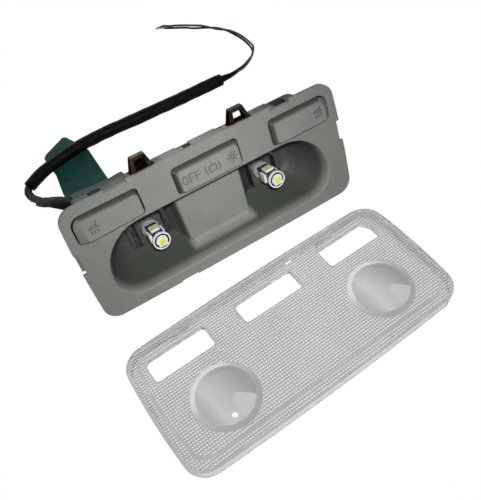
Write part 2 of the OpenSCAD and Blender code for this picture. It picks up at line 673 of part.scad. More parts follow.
// Lens: a shallow tray face up, with a raised field, three windows and two spot lenses
side_window_x = lens_w / 2 - 28.1;
window_y = lens_h / 2 - 16.85;
window_cut = [14, 5.6];
spot_y = -lens_h / 2 + 26.35;
spot_shift = 1.2;
spot_ring = 2.5;
hook_reach = 1.2;
module windows_2d(grow) {
    wh = window_h + 2 * grow;
    for (x = [-side_window_x, 0]) translate([x, window_y])
        polygon(round_rect([-window_w / 2 + (x < 0 ? 0.7 : 0) - grow, -wh / 2],
            [window_w / 2 - (x < 0 ? 0.7 : 0) + grow, wh / 2], [2, 2, 2, 3]));
    translate([side_window_x, window_y]) difference() {
        polygon(round_rect([-window_w / 2 + 1.2 - grow, -wh / 2], [window_w / 2 - 1.2 + grow, wh / 2],
            [2, 1, 1, 2]));
        translate([window_w / 2 - 1.2 + grow, wh / 2]) rotate(-54) square(window_cut, center = true);
    }
}
module spot_dome(side) {
    dome_r = spot_r - spot_ring;
    ball_r = (pow(dome_r, 2) + pow(spot_rise, 2)) / (2 * spot_rise);
    cylinder(r1 = spot_r, r2 = spot_r - 1, h = 1, $fn = 72);
    translate([-side * spot_shift, 0, 0]) intersection() {
        translate([0, 0, 1 + spot_rise - ball_r]) sphere(r = ball_r, $fn = 72);
        cylinder(r = dome_r, h = spot_rise + 2, $fn = 72);
    }
}
module lens() color([0.85, 0.86, 0.86, 0.6]) on_lens() {
    top = lens_d - field_rise;
    outline = bowed_rect(lens_w, lens_h, lens_r, 1.5, 1.8);
    inner = bowed_rect(lens_w - 2 * lens_t, lens_h - 2 * lens_t, lens_r - lens_t, 1.5, 1.8);
    field = bowed_rect(lens_w - 2 * border_w, lens_h - 2 * border_w, lens_r - 4, 1.5, 1.8);
    difference() {
        union() {
            linear_extrude(top) polygon(outline);
            translate([0, 0, top - eps]) linear_extrude(field_rise + eps) polygon(field);
            for (s = [-1, 1]) translate([s * spot_x, spot_y, lens_d - eps]) spot_dome(s);
        }
        translate([0, 0, -over]) linear_extrude(top - lens_t + over) polygon(inner);
        translate([0, 0, -over]) linear_extrude(lens_d + 2 * over) windows_2d(0);
        // Hollow behind each spot lens
        for (s = [-1, 1]) translate([s * spot_x, spot_y, top - lens_t - eps])
            cylinder(r = spot_r - 4, h = 1, $fn = 72);
    }
    // Hooks inside the rim, one for each notch of the bezel
    for (s = [-1, 1]) {
        translate([s * (lens_w / 2 - lens_t - hook_reach / 2), notch_y - plate_h / 2, 1])
            cube([hook_reach + 0.4, notch_w - 2, 2], center = true);
        translate([s * notch_x, lens_h / 2 - lens_t - hook_reach, 1])
            cube([notch_w - 2, hook_reach + 1.2, 2], center = true);
    }
}

// Harness route, from the housing's rear down to the table and along it
sleeve_route = [[-60, 59.5, 46.5], [-60, 64.5, 44.5], [-63, 69.5, 44], [-67.5, 75.5, 43],
    [-71, 83, 39.5], [-74, 91, 33.5], [-76, 98, 28], [-76.5, 102, 25]];
bundle_route = [[-76.5, 102, 25], [-77, 106, 22], [-78, 112, 18], [-79.5, 119, 13], [-80.5, 126, 9],
    [-81, 133, 6], [-79.5, 138.5, 4.5], [-78, 139.5, 4.5]];
tube_route = [[-78, 139.5, 4.5], [-72, 143.5, 4.5], [-63, 147, 5.1], [-50, 150.5, 5.1],
    [-38, 153, 5.1], [-28, 154, 4.6], [-17, 154.5, 4.5], [-6, 154, 4.5], [6, 153.5, 4.5],
    [18, 153.5, 4.5], [30, 153, 4.5], [42, 153, 4.5], [55, 153, 4.5], [68, 153, 4.5]];
shrink_route = [[68, 153, 4.5], [72, 153, 4.5], [77, 155, 2.5], [82, 157, 1.5]];
black_route = [[81.7, 157.75, 1.5], [84.2, 158.75, 1], [90, 160, 0.8], [98, 164, 0.8], [103, 167, 0.8],
    [106, 173.5, 0.8], [106.5, 181, 0.8], [106, 189, 0.8], [104.5, 196, 0.8], [102.5, 203.5, 0.8],
    [99.5, 209.5, 0.8], [95, 214, 0.8], [89.5, 218, 0.8], [84, 221.5, 0.8], [79.5, 226.5, 0.8],
    [74, 230.5, 0.8], [69, 234, 0.8], [66.5, 236.5, 0.8]];
grey_route = [[82.3, 156.25, 1.5], [84.8, 157.25, 1], [90.5, 158.4, 0.8], [98.5, 162.5, 2], [103, 167, 2.8],
    [107.5, 173, 2], [108.5, 181, 0.8], [107, 189, 2.2], [104.5, 196, 2.8], [101.5, 203, 2.2],
    [98, 208.5, 0.8], [94, 212.5, 2], [89.5, 218, 2.8], [85, 222.5, 2.4], [79.5, 226.5, 2.8],
    [74.5, 231.5, 2.2], [70.5, 236, 0.8], [67.5, 239.5, 0.8], [64.5, 239.5, 0.8]];
// Tape tab seen from the left as [y, z]: stuck on the carrier's back over a bus bar, then down to
// the table and under the tube
tape_line = [[58.6, 50.3], [59.7, 53], [60.7, 54.1], [62.5, 54], [65, 52.6], [69, 50.2], [74, 46.8],
    [80, 38.5], [86, 29], [93, 18.5], [100, 9.5], [107, 3.8], [115, 0.9], [128, 0.4], [142, 0.4], [158, 0.4],
    [173, 0.4]];
// Its outline seen from above, about the middle of its width: it is torn off askew beyond the tube
tape_x = -48.8;
tape_plan = [[-tape_w / 2, 0], [tape_w / 2, 0], [tape_w / 2, 151], [8, 167], [6.5, 171], [4, 172],
    [-10.5, 164], [-13, 161], [-12, 142], [-tape_w / 2, 124]];

// Middle points between neighbours, so that a bend is round
function smooth(p) = concat([p[0]], [for (i = [0:len(p) - 2]) each
    [p[i] * 0.75 + p[i + 1] * 0.25, p[i] * 0.25 + p[i + 1] * 0.75]], [p[len(p) - 1]]);
function heading(p, i) = unit(p[min(i + 1, len(p) - 1)] - p[max(i - 1, 0)]);
// One ring of a tube round a route's point, w wide and h high, lying with its width level
function tube_ring(p, i, w, h, sides) =
    let (t = heading(p, i), a = unit(cross(t, [0, 0, 1])), b = cross(t, a))
    [for (k = [0:sides - 1]) let (g = 360 * (k + 0.5) / sides)
        p[i] + a * w / 2 * cos(g) + b * h / 2 * sin(g)];
// Tube along a route, its width and height running from the first to the last pair
module tube(p, w0, h0, w1, h1, sides) {
    n = len(p);
    polyhedron(
        points = [for (i = [0:n - 1]) let (f = i / (n - 1))
            each tube_ring(p, i, w0 + (w1 - w0) * f, h0 + (h1 - h0) * f, sides)],
        faces = concat(
            [[for (k = [0:sides - 1]) k]],
            [[for (k = [sides - 1:-1:0]) (n - 1) * sides + k]],
            [for (i = [0:n - 2], k = [0:sides - 1]) let (j = (k + 1) % sides)
                [i * sides + k, (i + 1) * sides + k, (i + 1) * sides + j, i * sides + j]]),
        convexity = 10);
}
module harness_sleeve() color([0.08, 0.08, 0.08]) tube(smooth(sleeve_route), 8.5, 3.8, 7.5, 3.6, 12);
module harness_bundle() color([0.06, 0.06, 0.06])
    tube(smooth(bundle_route), bundle_d, bundle_d, bundle_d, bundle_d, 8);
module harness_tube() color([0.05, 0.05, 0.05])
    tube(smooth(tube_route), tube_d * 1.08, tube_d, tube_d, tube_d, 12);
module heat_shrink() color([0.05, 0.05, 0.05]) tube(smooth(shrink_route), 5, 4.6, 3.2, 2.2, 10);
module black_lead() color([0.1, 0.1, 0.1])
    tube(smooth(black_route), lead_d, lead_d, lead_d, lead_d, 8);
module grey_lead() color([0.45, 0.48, 0.55])
    tube(smooth(grey_route), lead_d, lead_d, lead_d, lead_d, 8);
module tape_tab() color([0.1, 0.28, 0.25]) intersection() {
    translate([tape_x - tape_w / 2, 0, 0]) rotate([90, 0, 90])
        linear_extrude(tape_w) polygon(band(tape_line, tape_t));
    translate([tape_x, 0, 0]) linear_extrude(plate_h) polygon(tape_plan);
}

housing();
left_rocker();
centre_rocker();
right_rocker();
switch_carrier();
feed_bus_bar();
ground_bus_bar();
left_contact_spring();
centre_contact_spring();
right_contact_spring();
left_bulb_socket();
right_bulb_socket();
left_socket_blades();
right_socket_blades();
left_bulb_base();
right_bulb_base();
left_bulb_leads();
right_bulb_leads();
left_bulb_core();
right_bulb_core();
left_bulb_front();
right_bulb_front();
left_bulb_chips();
right_bulb_chips();
left_spring_clip();
right_spring_clip();
lens();
harness_sleeve();
harness_bundle();
harness_tube();
heat_shrink();
black_lead();
grey_lead();
tape_tab();
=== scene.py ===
import json
import math
import random

import bpy
from mathutils import Matrix, Vector, noise


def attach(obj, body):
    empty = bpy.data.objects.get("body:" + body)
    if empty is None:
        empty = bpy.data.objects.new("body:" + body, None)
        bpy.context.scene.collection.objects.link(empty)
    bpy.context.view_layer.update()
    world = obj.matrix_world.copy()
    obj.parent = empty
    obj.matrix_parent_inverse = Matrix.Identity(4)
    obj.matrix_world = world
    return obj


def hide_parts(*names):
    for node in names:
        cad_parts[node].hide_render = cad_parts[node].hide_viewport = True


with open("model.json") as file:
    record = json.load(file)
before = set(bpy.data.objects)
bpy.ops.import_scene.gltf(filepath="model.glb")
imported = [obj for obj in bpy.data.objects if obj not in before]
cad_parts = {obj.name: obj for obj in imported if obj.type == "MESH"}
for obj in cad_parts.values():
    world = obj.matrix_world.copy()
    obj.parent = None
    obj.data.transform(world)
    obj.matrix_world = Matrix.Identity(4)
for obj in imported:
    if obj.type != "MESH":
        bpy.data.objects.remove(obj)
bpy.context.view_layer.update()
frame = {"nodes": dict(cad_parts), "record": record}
nodes = frame["nodes"]
mm = 0.001
print("frame loaded:", len(nodes), "nodes")


def deselectAll():
    if bpy.context.object and bpy.context.object.mode != "OBJECT":
        bpy.ops.object.mode_set(mode="OBJECT")
    bpy.ops.object.select_all(action="DESELECT")


def pick(piece):
    deselectAll()
    piece.select_set(True)
    bpy.context.view_layer.objects.active = piece


def meshPiece(name, verts, faces):
    mesh = bpy.data.meshes.new(name)
    mesh.from_pydata([tuple(v) for v in verts], [], faces)
    piece = bpy.data.objects.new(name, mesh)
    bpy.context.scene.collection.objects.link(piece)
    return piece


def editAll(piece, *steps):
    # runs edit-mode operators on the whole of a piece
    pick(piece)
    bpy.ops.object.mode_set(mode="EDIT")
    bpy.ops.mesh.select_all(action="SELECT")
    for step in steps:
        step()
    bpy.ops.object.mode_set(mode="OBJECT")


def faceOut():
    bpy.ops.mesh.normals_make_consistent(inside=False)


def smooth(piece, degrees):
    pick(piece)
    bpy.ops.object.shade_smooth_by_angle(angle=math.radians(degrees))


deselectAll()

# the camera stands at the photograph's angle
camera = dict(place=(-0.0785, -0.1551, 0.2759), turn=(35.475, 5.060, -31.761), lens=43.88)
cameraData = bpy.data.cameras.new("photoCamera")
cameraData.lens = camera["lens"]
cameraData.sensor_width = 36
cameraData.clip_start = 0.01
photoCamera = bpy.data.objects.new("photoCamera", cameraData)
photoCamera.location = camera["place"]
photoCamera.rotation_euler = [math.radians(a) for a in camera["turn"]]
bpy.context.scene.collection.objects.link(photoCamera)
bpy.context.scene.camera = photoCamera


def linear(hexColour, alpha=1.0):
    # sRGB hex to the linear colour that the shaders take
    parts = [int(hexColour[i:i + 2], 16) / 255 for i in (1, 3, 5)]
    return [p / 12.92 if p <= 0.04045 else ((p + 0.055) / 1.055) ** 2.4 for p in parts] + [alpha]


def setInputs(tree, node, inputs):
    for key, value in inputs.items():
        if isinstance(value, bpy.types.NodeSocket):
            tree.links.new(value, node.inputs[key])
        else:
            node.inputs[key].default_value = value


def addNode(tree, kind, settings=None, inputs=None, stops=()):
    # one node with its properties, plain values and links and, on a colour ramp, its stops
    node = tree.nodes.new(kind)
    for key, value in (settings or {}).items():
        setattr(node, key, value)
    setInputs(tree, node, inputs or {})
    for _ in stops[2:]:
        node.color_ramp.elements.new(0.5)
    for i, (place, hexColour) in enumerate(stops):
        stop = node.color_ramp.elements[i]
        stop.position, stop.color = place, linear(hexColour)
    return node


def startMaterial(name):
    material = bpy.data.materials.new(name)
    material.use_nodes = True
    tree = material.node_tree
    return material, tree, tree.nodes["Principled BSDF"]


def objectCoords(tree, scale=(1, 1, 1), turn=(0, 0, 0)):
    coords = addNode(tree, "ShaderNodeTexCoord")
    return addNode(tree, "ShaderNodeMapping", None, {
        "Vector": coords.outputs["Object"], "Scale": scale, "Rotation": turn}).outputs["Vector"]


bezel = dict(place=(2.8, 25.0), plate=2.2, lean=21.763)
onBezel = (Matrix.Translation((bezel["place"][0] * mm, bezel["place"][1] * mm,
                               bezel["plate"] * math.sin(math.radians(bezel["lean"])) * mm))
           @ Matrix.Rotation(math.radians(90 - bezel["lean"]), 4, "X"))


def maskOf(tree, *bands):
    # product of bands, each a value that runs from 0 at its start to 1 at its stop
    mask = None
    for value, start, stop, run in bands:
        band = addNode(tree, "ShaderNodeMapRange", {"interpolation_type": run}, {
            "Value": value, "From Min": start, "From Max": stop}).outputs["Result"]
        mask = band if mask is None else addNode(tree, "ShaderNodeMath", {"operation": "MULTIPLY"}, {
            0: mask, 1: band}).outputs["Value"]
    return mask


def depthPaintedShade(tree, colour, look):
    # painted shade: surfaces below a depth under the bezel's face are painted darker, where they are
    # turned the given way, for the shade in the bowls and in the rockers' gaps
    coords = addNode(tree, "ShaderNodeTexCoord")
    axes, reach = onBezel.to_3x3().col, []
    for axis in axes:
        along = addNode(tree, "ShaderNodeVectorMath", {"operation": "DOT_PRODUCT"}, {
            0: coords.outputs["Object"], 1: tuple(axis)})
        reach.append(addNode(tree, "ShaderNodeMath", {"operation": "SUBTRACT"}, {
            0: along.outputs["Value"], 1: axis.dot(onBezel.translation)}).outputs["Value"])
    x, y, z = reach
    towards = addNode(tree, "ShaderNodeVectorMath", {"operation": "DOT_PRODUCT"}, {
        0: coords.outputs["Normal"], 1: tuple(axes[2])})
    bands = [(z, -look["top"] * mm, -look["floor"] * mm, "SMOOTHSTEP"),
             (towards.outputs["Value"], *look["turned"], "LINEAR")]
    if "pad" in look:
        # the pad in the bowl is kept out of the painted shade and keeps the colour of the face
        aside = addNode(tree, "ShaderNodeMath", {"operation": "ABSOLUTE"}, {0: x})
        (foot, clear), (far, near) = look["foot"], look["pad"]
        deep, shallow = look["padDepth"]
        pad = maskOf(tree, (aside.outputs["Value"], far * mm, near * mm, "SMOOTHSTEP"),
                     (y, foot * mm, clear * mm, "SMOOTHSTEP"),
                     (z, -deep * mm, -shallow * mm, "SMOOTHSTEP"))
        bands.append((pad, 1, 0, "LINEAR"))
    return addNode(tree, "ShaderNodeMix", {"data_type": "RGBA", "blend_type": "MULTIPLY"}, {
        "Factor": maskOf(tree, *bands), 6: colour, 7: linear(look["tint"])}).outputs[2]


def mouldedPlastic(name, look):
    # a spark-eroded mould leaves a fine grain, the melt a faint mottle, and handling rubs it smooth
    material, tree, shader = startMaterial(name)
    coords = objectCoords(tree)
    mottle = addNode(tree, "ShaderNodeTexNoise", None, {
        "Vector": coords, "Scale": 1 / (look["mottle"] * mm), "Detail": 4.0, "Roughness": 0.6})
    grain = addNode(tree, "ShaderNodeTexNoise", None, {
        "Vector": coords, "Scale": 1 / (look["grain"] * mm), "Detail": 2.0})
    rub = addNode(tree, "ShaderNodeMapRange", None, {
        "Value": mottle.outputs["Fac"], "From Min": 0.35, "From Max": 0.7,
        "To Min": look["roughness"] + 0.06, "To Max": look["roughness"] - 0.06})
    edge = addNode(tree, "ShaderNodeBevel", {"samples": 4}, {"Radius": look["edge"] * mm})
    bump = addNode(tree, "ShaderNodeBump", None, {
        "Height": grain.outputs["Fac"], "Strength": look["relief"], "Distance": 0.04 * mm,
        "Normal": edge.outputs["Normal"]})
    colour = addNode(tree, "ShaderNodeValToRGB", None, {"Fac": mottle.outputs["Fac"]},
                     tuple(zip((0.35, 0.68), look["colours"]))).outputs["Color"]
    # painted shade deep under the bezel's face, where the look has it
    if "deep" in look:
        colour = depthPaintedShade(tree, colour, look["deep"])
    setInputs(tree, shader, {
        "Base Color": colour, "Roughness": rub.outputs["Result"], "Normal": bump.outputs["Normal"],
        "IOR": look["ior"], "Specular IOR Level": look.get("sheen", 0.3)})
    return material


def rolledMetal(name, look):
    # strip rolled along its length: long faint streaks, with the plating's patches of colour
    material, tree, shader = startMaterial(name)
    streak = addNode(tree, "ShaderNodeTexNoise", None, {
        "Vector": objectCoords(tree, (60, 900, 900)), "Scale": 1.5, "Detail": 3.0})
    patch = addNode(tree, "ShaderNodeTexNoise", None, {
        "Vector": objectCoords(tree), "Scale": 1 / (look["patch"] * mm), "Detail": 5.0,
        "Roughness": 0.65})
    edge = addNode(tree, "ShaderNodeBevel", {"samples": 4}, {"Radius": 0.15 * mm})
    bump = addNode(tree, "ShaderNodeBump", None, {
        "Height": streak.outputs["Fac"], "Strength": 0.25, "Distance": 0.03 * mm,
        "Normal": edge.outputs["Normal"]})
    rough = addNode(tree, "ShaderNodeMapRange", None, {
        "Value": streak.outputs["Fac"], "From Min": 0.3, "From Max": 0.7,
        "To Min": look["roughness"] - 0.07, "To Max": look["roughness"] + 0.08})
    colour = addNode(tree, "ShaderNodeValToRGB", None, {"Fac": patch.outputs["Fac"]},
                     tuple(zip((0.38, 0.66), look["colours"])))
    setInputs(tree, shader, {
        "Base Color": colour.outputs["Color"], "Roughness": rough.outputs["Result"],
        "Normal": bump.outputs["Normal"], "Metallic": 1.0})
    return material


plastics = {
    # grey ABS with a fine satin grain, as car trim is moulded; its deep entry is painted shade in the
    # bowls, with the pad left out
    "trimAbs": dict(colours=("#878985", "#8D8F8A"), roughness=0.5, grain=0.35, mottle=14, relief=0.25,
                    edge=0.45, ior=1.5, deep=dict(
                        top=0.5, floor=7, turned=(-0.3, 0.0), tint="#8A8F8A",
                        pad=(22, 18), foot=(8.5, 10.5), padDepth=(17, 13))),
    # the rockers' grip faces are a shade lighter and a little smoother; their deep entry is painted
    # shade on the flanks in the gaps
    "rockerAbs": dict(colours=("#8A8C88", "#90928E"), roughness=0.44, grain=0.3, mottle=12, relief=0.2,
                      edge=0.35, ior=1.5, deep=dict(
                          top=-4.4, floor=-1.5, turned=(0.8, 0.4), tint="#8C908B")),
    # dark glass-filled nylon of the switch carrier
    "carrierNylon": dict(colours=("#2C2D2C", "#383936"), roughness=0.55, grain=0.5, mottle=6, relief=0.5,
                         edge=0.25, ior=1.53),
    # heat-stable socket moulding
    "socketNylon": dict(colours=("#4A4C49", "#585A56"), roughness=0.5, grain=0.4, mottle=5, relief=0.3,
                        edge=0.2, ior=1.53),
    # milky polycarbonate of the bulb's base
    "bulbPolycarbonate": dict(colours=("#979998", "#ABADAC"), roughness=0.35, grain=0.4, mottle=3,
                              relief=0.15, edge=0.2, ior=1.58, sheen=0.5),
    # black solder mask of the board column
    "boardMask": dict(colours=("#1B1C1C", "#2A2B2A"), roughness=0.3, grain=0.5, mottle=2, relief=0.3,
                      edge=0.1, ior=1.5),
    # white ceramic-filled front board
    "frontBoard": dict(colours=("#ECEEF2", "#FFFFFF"), roughness=0.35, grain=0.4, mottle=2, relief=0.15,
                       edge=0.15, ior=1.5),
}
metals = {
    # brass bus bars, dulled in store
    "brassStrip": dict(colours=("#A8864A", "#C9A866"), roughness=0.32, patch=5),
    # phosphor bronze of the contact springs
    "phosphorBronze": dict(colours=("#A9744A", "#C08A5C"), roughness=0.28, patch=4),
    # tinned contact blades
    "tinnedSteel": dict(colours=("#4A4B4B", "#747573"), roughness=0.34, patch=3),
    # spring steel, zinc plated and yellow passivated: bronze with brown and green patches
    "passivatedZinc": dict(colours=("#1E160D", "#453A2A"), roughness=0.4, patch=4.5),
}
finishes = {name: mouldedPlastic(name, look) for name, look in plastics.items()}
finishes.update({name: rolledMetal(name, look) for name, look in metals.items()})


def phosphorChip():
    # yellow phosphor in silicone on a lit white chip
    material, tree, shader = startMaterial("chipPhosphor")
    cells = addNode(tree, "ShaderNodeTexNoise", None, {
        "Vector": objectCoords(tree), "Scale": 1 / (1.2 * mm), "Detail": 3.0})
    colour = addNode(tree, "ShaderNodeValToRGB", None, {"Fac": cells.outputs["Fac"]},
                     ((0.35, "#DDE63C"), (0.65, "#F2F86A")))
    setInputs(tree, shader, {
        "Base Color": colour.outputs["Color"], "Roughness": 0.3, "Coat Weight": 0.5})
    return material


finishes["chipPhosphor"] = phosphorChip()


lens = dict(place=(0, -32.6), turn=3.2, width=163, height=74.5, corner=11, top=6.9, field=7.5,
            border=5.6, edge=0.7, rim=1.2, bowLong=1.5, bowShort=1.8, pitch=(1.45, 1.51), prism=0.34,
            sunk=(0.05, 0.3), tall=12, spotX=47.7, spotY=-10.9, spotRadius=17.0, domeRadius=14.5,
            windowY=20.4, windowHigh=12.5, windows=((-53.4, 34.1), (0, 35.5), (53.4, 33.1)),
            windowCorners=(2, 3), frameWidth=0.8, chamfer=(5.2, 3.6))


def lensCoords(tree):
    # millimetres from the lens's middle, along its own sides
    turned = objectCoords(tree, turn=(0, 0, math.radians(-lens["turn"])))
    centred = Matrix.Rotation(math.radians(-lens["turn"]), 3, "Z") @ Vector((*lens["place"], 0))
    moved = addNode(tree, "ShaderNodeVectorMath", {"operation": "SUBTRACT"}, {
        0: turned, 1: tuple(centred * mm)})
    return addNode(tree, "ShaderNodeVectorMath", {"operation": "SCALE"}, {
        0: moved.outputs["Vector"], "Scale": 1 / mm}).outputs["Vector"]


def prismPaintedLight(tree):
    # painted light and shade: each prism is painted with a bright point where light passes, with dark
    # grooves between for refracted shade; those along the lens are deeper
    cell = lensCoords(tree)
    for operation, value in (("DIVIDE", (*lens["pitch"], 1)), ("FRACTION", (0, 0, 0)),
                             ("SUBTRACT", (0.5, 0.5, 0.5)), ("ABSOLUTE", (0, 0, 0))):
        cell = addNode(tree, "ShaderNodeVectorMath", {"operation": operation}, {
            0: cell, 1: value}).outputs["Vector"]
    parts = addNode(tree, "ShaderNodeSeparateXYZ", None, {"Vector": cell})
    across = addNode(tree, "ShaderNodeMath", {"operation": "MULTIPLY"}, {0: parts.outputs["X"], 1: 0.8})
    away = addNode(tree, "ShaderNodeMath", {"operation": "MAXIMUM"}, {
        0: across.outputs["Value"], 1: parts.outputs["Y"]})
    return addNode(tree, "ShaderNodeValToRGB", None, {"Fac": away.outputs["Value"]},
                   ((0.2, "#F6F6F6"), (0.34, "#505355"))).outputs["Color"]


def spotPaintedLight(tree):
    # painted light and shade on each spot lens: a ring painted light on its far side and darker on its
    # near side, round a dome painted lighter and darker across, with a painted bright patch
    parts = addNode(tree, "ShaderNodeSeparateXYZ", None, {"Vector": lensCoords(tree)})
    side = addNode(tree, "ShaderNodeMath", {"operation": "SIGN"}, {0: parts.outputs["X"]})
    x = addNode(tree, "ShaderNodeMath", {"operation": "MULTIPLY_ADD"}, {
        0: side.outputs["Value"], 1: -lens["spotX"], 2: parts.outputs["X"]})
    y = addNode(tree, "ShaderNodeMath", {"operation": "SUBTRACT"}, {
        0: parts.outputs["Y"], 1: lens["spotY"]})
    place = addNode(tree, "ShaderNodeCombineXYZ", None, {
        "X": x.outputs["Value"], "Y": y.outputs["Value"]}).outputs["Vector"]
    reach = addNode(tree, "ShaderNodeVectorMath", {"operation": "LENGTH"}, {0: place}).outputs["Value"]
    heading = addNode(tree, "ShaderNodeVectorMath", {"operation": "NORMALIZE"}, {
        0: place}).outputs["Vector"]
    farSide, acrossDome, patchWay, patchReach = [
        addNode(tree, "ShaderNodeVectorMath", {"operation": "DOT_PRODUCT"}, {
            0: vector, 1: axis}).outputs["Value"]
        for vector, axis in ((heading, (-0.4, 0.9, 0)), (place, (0.8, 0.1, 0)),
                             (heading, (0.5, -0.87, 0)), (place, (0.5, -0.87, 0)))]
    ring = addNode(tree, "ShaderNodeValToRGB", None, {
        "Fac": maskOf(tree, (farSide, -1, 1, "SMOOTHSTEP"))}, (
        (0.1, "#8E908E"), (0.45, "#A4A5A3"), (0.75, "#B4B5B3"), (0.95, "#E4E4E2")))
    dome = addNode(tree, "ShaderNodeValToRGB", None, {
        "Fac": maskOf(tree, (acrossDome, -13, 12, "SMOOTHSTEP"))}, (
        (0.0, "#9C9D9A"), (0.2, "#C2C3C0"), (0.6, "#A6A7A5"), (0.95, "#828481")))
    # a painted bright patch of light on one side of the dome
    paintedPatch = maskOf(tree, (patchWay, 0.88, 0.93, "SMOOTHSTEP"), (patchReach, 3, 6, "SMOOTHSTEP"))
    patchedDome = addNode(tree, "ShaderNodeMix", {"data_type": "RGBA"}, {
        "Factor": paintedPatch, 6: dome.outputs["Color"], 7: linear("#BBBEBC")})
    rim = maskOf(tree, (reach, lens["domeRadius"] - 0.3, lens["domeRadius"] + 0.3, "LINEAR"))
    return addNode(tree, "ShaderNodeMix", {"data_type": "RGBA"}, {
        "Factor": rim, 6: patchedDome.outputs[2], 7: ring.outputs["Color"]}).outputs[2]


def lensAcrylic(name, look):
    # clear moulded acrylic, a little hazy with use
    material, tree, shader = startMaterial(name)
    haze = addNode(tree, "ShaderNodeTexNoise", None, {
        "Vector": objectCoords(tree), "Scale": 1 / (14 * mm), "Detail": 3.0})
    rough = addNode(tree, "ShaderNodeMapRange", None, {
        "Value": haze.outputs["Fac"], "From Min": 0.3, "From Max": 0.7,
        "To Min": look["roughness"][0], "To Max": look["roughness"][1]})
    # the prisms and the spots take painted light and shade in place of a plain colour
    if "tint" in look:
        colour = look["tint"](tree)
    else:
        colour = addNode(tree, "ShaderNodeValToRGB", None, {"Fac": haze.outputs["Fac"]},
                         tuple(zip((0.3, 0.7), look["colours"]))).outputs["Color"]
    setInputs(tree, shader, {
        "Base Color": colour, "Roughness": rough.outputs["Result"], "IOR": 1.49,
        "Transmission Weight": 0.78})
    return material


acrylics = {
    # back and walls, as clear as they were moulded
    "lensAcrylic": dict(roughness=(0.06, 0.12), colours=("#F4F5F5", "#FFFFFF")),
    # painted shade: the step between field and border is painted greyer, as it looks edge on
    "stepAcrylic": dict(roughness=(0.06, 0.12), colours=("#A0A2A2", "#B0B2B2")),
    "prismAcrylic": dict(roughness=(0.12, 0.18), tint=prismPaintedLight),
    "spotAcrylic": dict(roughness=(0.05, 0.1), tint=spotPaintedLight),
}
finishes.update({name: lensAcrylic(name, look) for name, look in acrylics.items()})

slotFinishes = dict(
    bezel_plastic="trimAbs", rocker_plastic="rockerAbs", carrier_plastic="carrierNylon",
    bar_brass="brassStrip", spring_bronze="phosphorBronze", socket_plastic="socketNylon",
    blade_steel="tinnedSteel", bulb_plastic="bulbPolycarbonate", bulb_board="boardMask",
    bulb_ring="frontBoard", bulb_chip="chipPhosphor", clip_steel="passivatedZinc",
    lens_clear="lensAcrylic")
nodeSlots = {row["node"]: row["material_slot"] for row in frame["record"]["subparts"]}
for name, node in nodes.items():
    if nodeSlots[name] in slotFinishes:
        node.data.materials.clear()
        node.data.materials.append(finishes[slotFinishes[nodeSlots[name]]])
print("finishes on the frame:", sum(slot in slotFinishes for slot in nodeSlots.values()), "nodes")


# the harness's routes, as in the part's source, in millimetres
routes = dict(
    sleeve=[(-60, 59.5, 46.5), (-60, 64.5, 44.5), (-63, 69.5, 44), (-67.5, 75.5, 43), (-71, 83, 39.5),
            (-74, 91, 33.5), (-76, 98, 28), (-76.5, 102, 25)],
    bundle=[(-76.5, 102, 25), (-77, 106, 22), (-78, 112, 18), (-79.5, 119, 13), (-80.5, 126, 9),
            (-81, 133, 6), (-79.5, 138.5, 4.5), (-78, 139.5, 4.5)],
    tube=[(-78, 139.5, 4.5), (-72, 143.5, 4.5), (-63, 147, 5.1), (-50, 150.5, 5.1), (-38, 153, 5.1),
          (-28, 154, 4.6), (-17, 154.5, 4.5), (-6, 154, 4.5), (6, 153.5, 4.5), (18, 153.5, 4.5),
          (30, 153, 4.5), (42, 153, 4.5), (55, 153, 4.5), (68, 153, 4.5)],
    shrink=[(68, 153, 4.5), (72, 153, 4.5), (77, 155, 2.5), (82, 157, 1.5)],
    black=[(81.7, 157.75, 1.5), (84.2, 158.75, 1), (90, 160, 0.8), (98, 164, 0.8), (103, 167, 0.8),
           (106, 173.5, 0.8), (106.5, 181, 0.8), (106, 189, 0.8), (104.5, 196, 0.8),
           (102.5, 203.5, 0.8), (99.5, 209.5, 0.8), (95, 214, 0.8), (89.5, 218, 0.8), (84, 221.5, 0.8),
           (79.5, 226.5, 0.8), (74, 230.5, 0.8), (69, 234, 0.8), (66.5, 236.5, 0.8)],
    grey=[(82.3, 156.25, 1.5), (84.8, 157.25, 1), (90.5, 158.4, 0.8), (98.5, 162.5, 2), (103, 167, 2.8),
          (107.5, 173, 2), (108.5, 181, 0.8), (107, 189, 2.2), (104.5, 196, 2.8), (101.5, 203, 2.2),
          (98, 208.5, 0.8), (94, 212.5, 2), (89.5, 218, 2.8), (85, 222.5, 2.4), (79.5, 226.5, 2.8),
          (74.5, 231.5, 2.2), (70.5, 236, 0.8), (67.5, 239.5, 0.8), (64.5, 239.5, 0.8)])


def rounded(points, times=3):
    # cuts the corners of a route, as the part's source does, until it bends smoothly
    line = [Vector(p) for p in points]
    for _ in range(times):
        cut = [line[0]]
        for a, b in zip(line, line[1:]):
            cut += [a * 0.75 + b * 0.25, a * 0.25 + b * 0.75]
        line = cut + [line[-1]]
    return line


def evenly(line, step):
    # the same line with points about one step apart
    along = [0.0]
    for a, b in zip(line, line[1:]):
        along.append(along[-1] + (b - a).length)
    count = max(2, round(along[-1] / step))
    out, i = [], 0
    for k in range(count + 1):
        s = along[-1] * k / count
        while i < len(line) - 2 and along[i + 1] < s:
            i += 1
        span = max(along[i + 1] - along[i], 1e-9)
        out.append(line[i].lerp(line[i + 1], min(1.0, (s - along[i]) / span)))
    return out, along[-1]


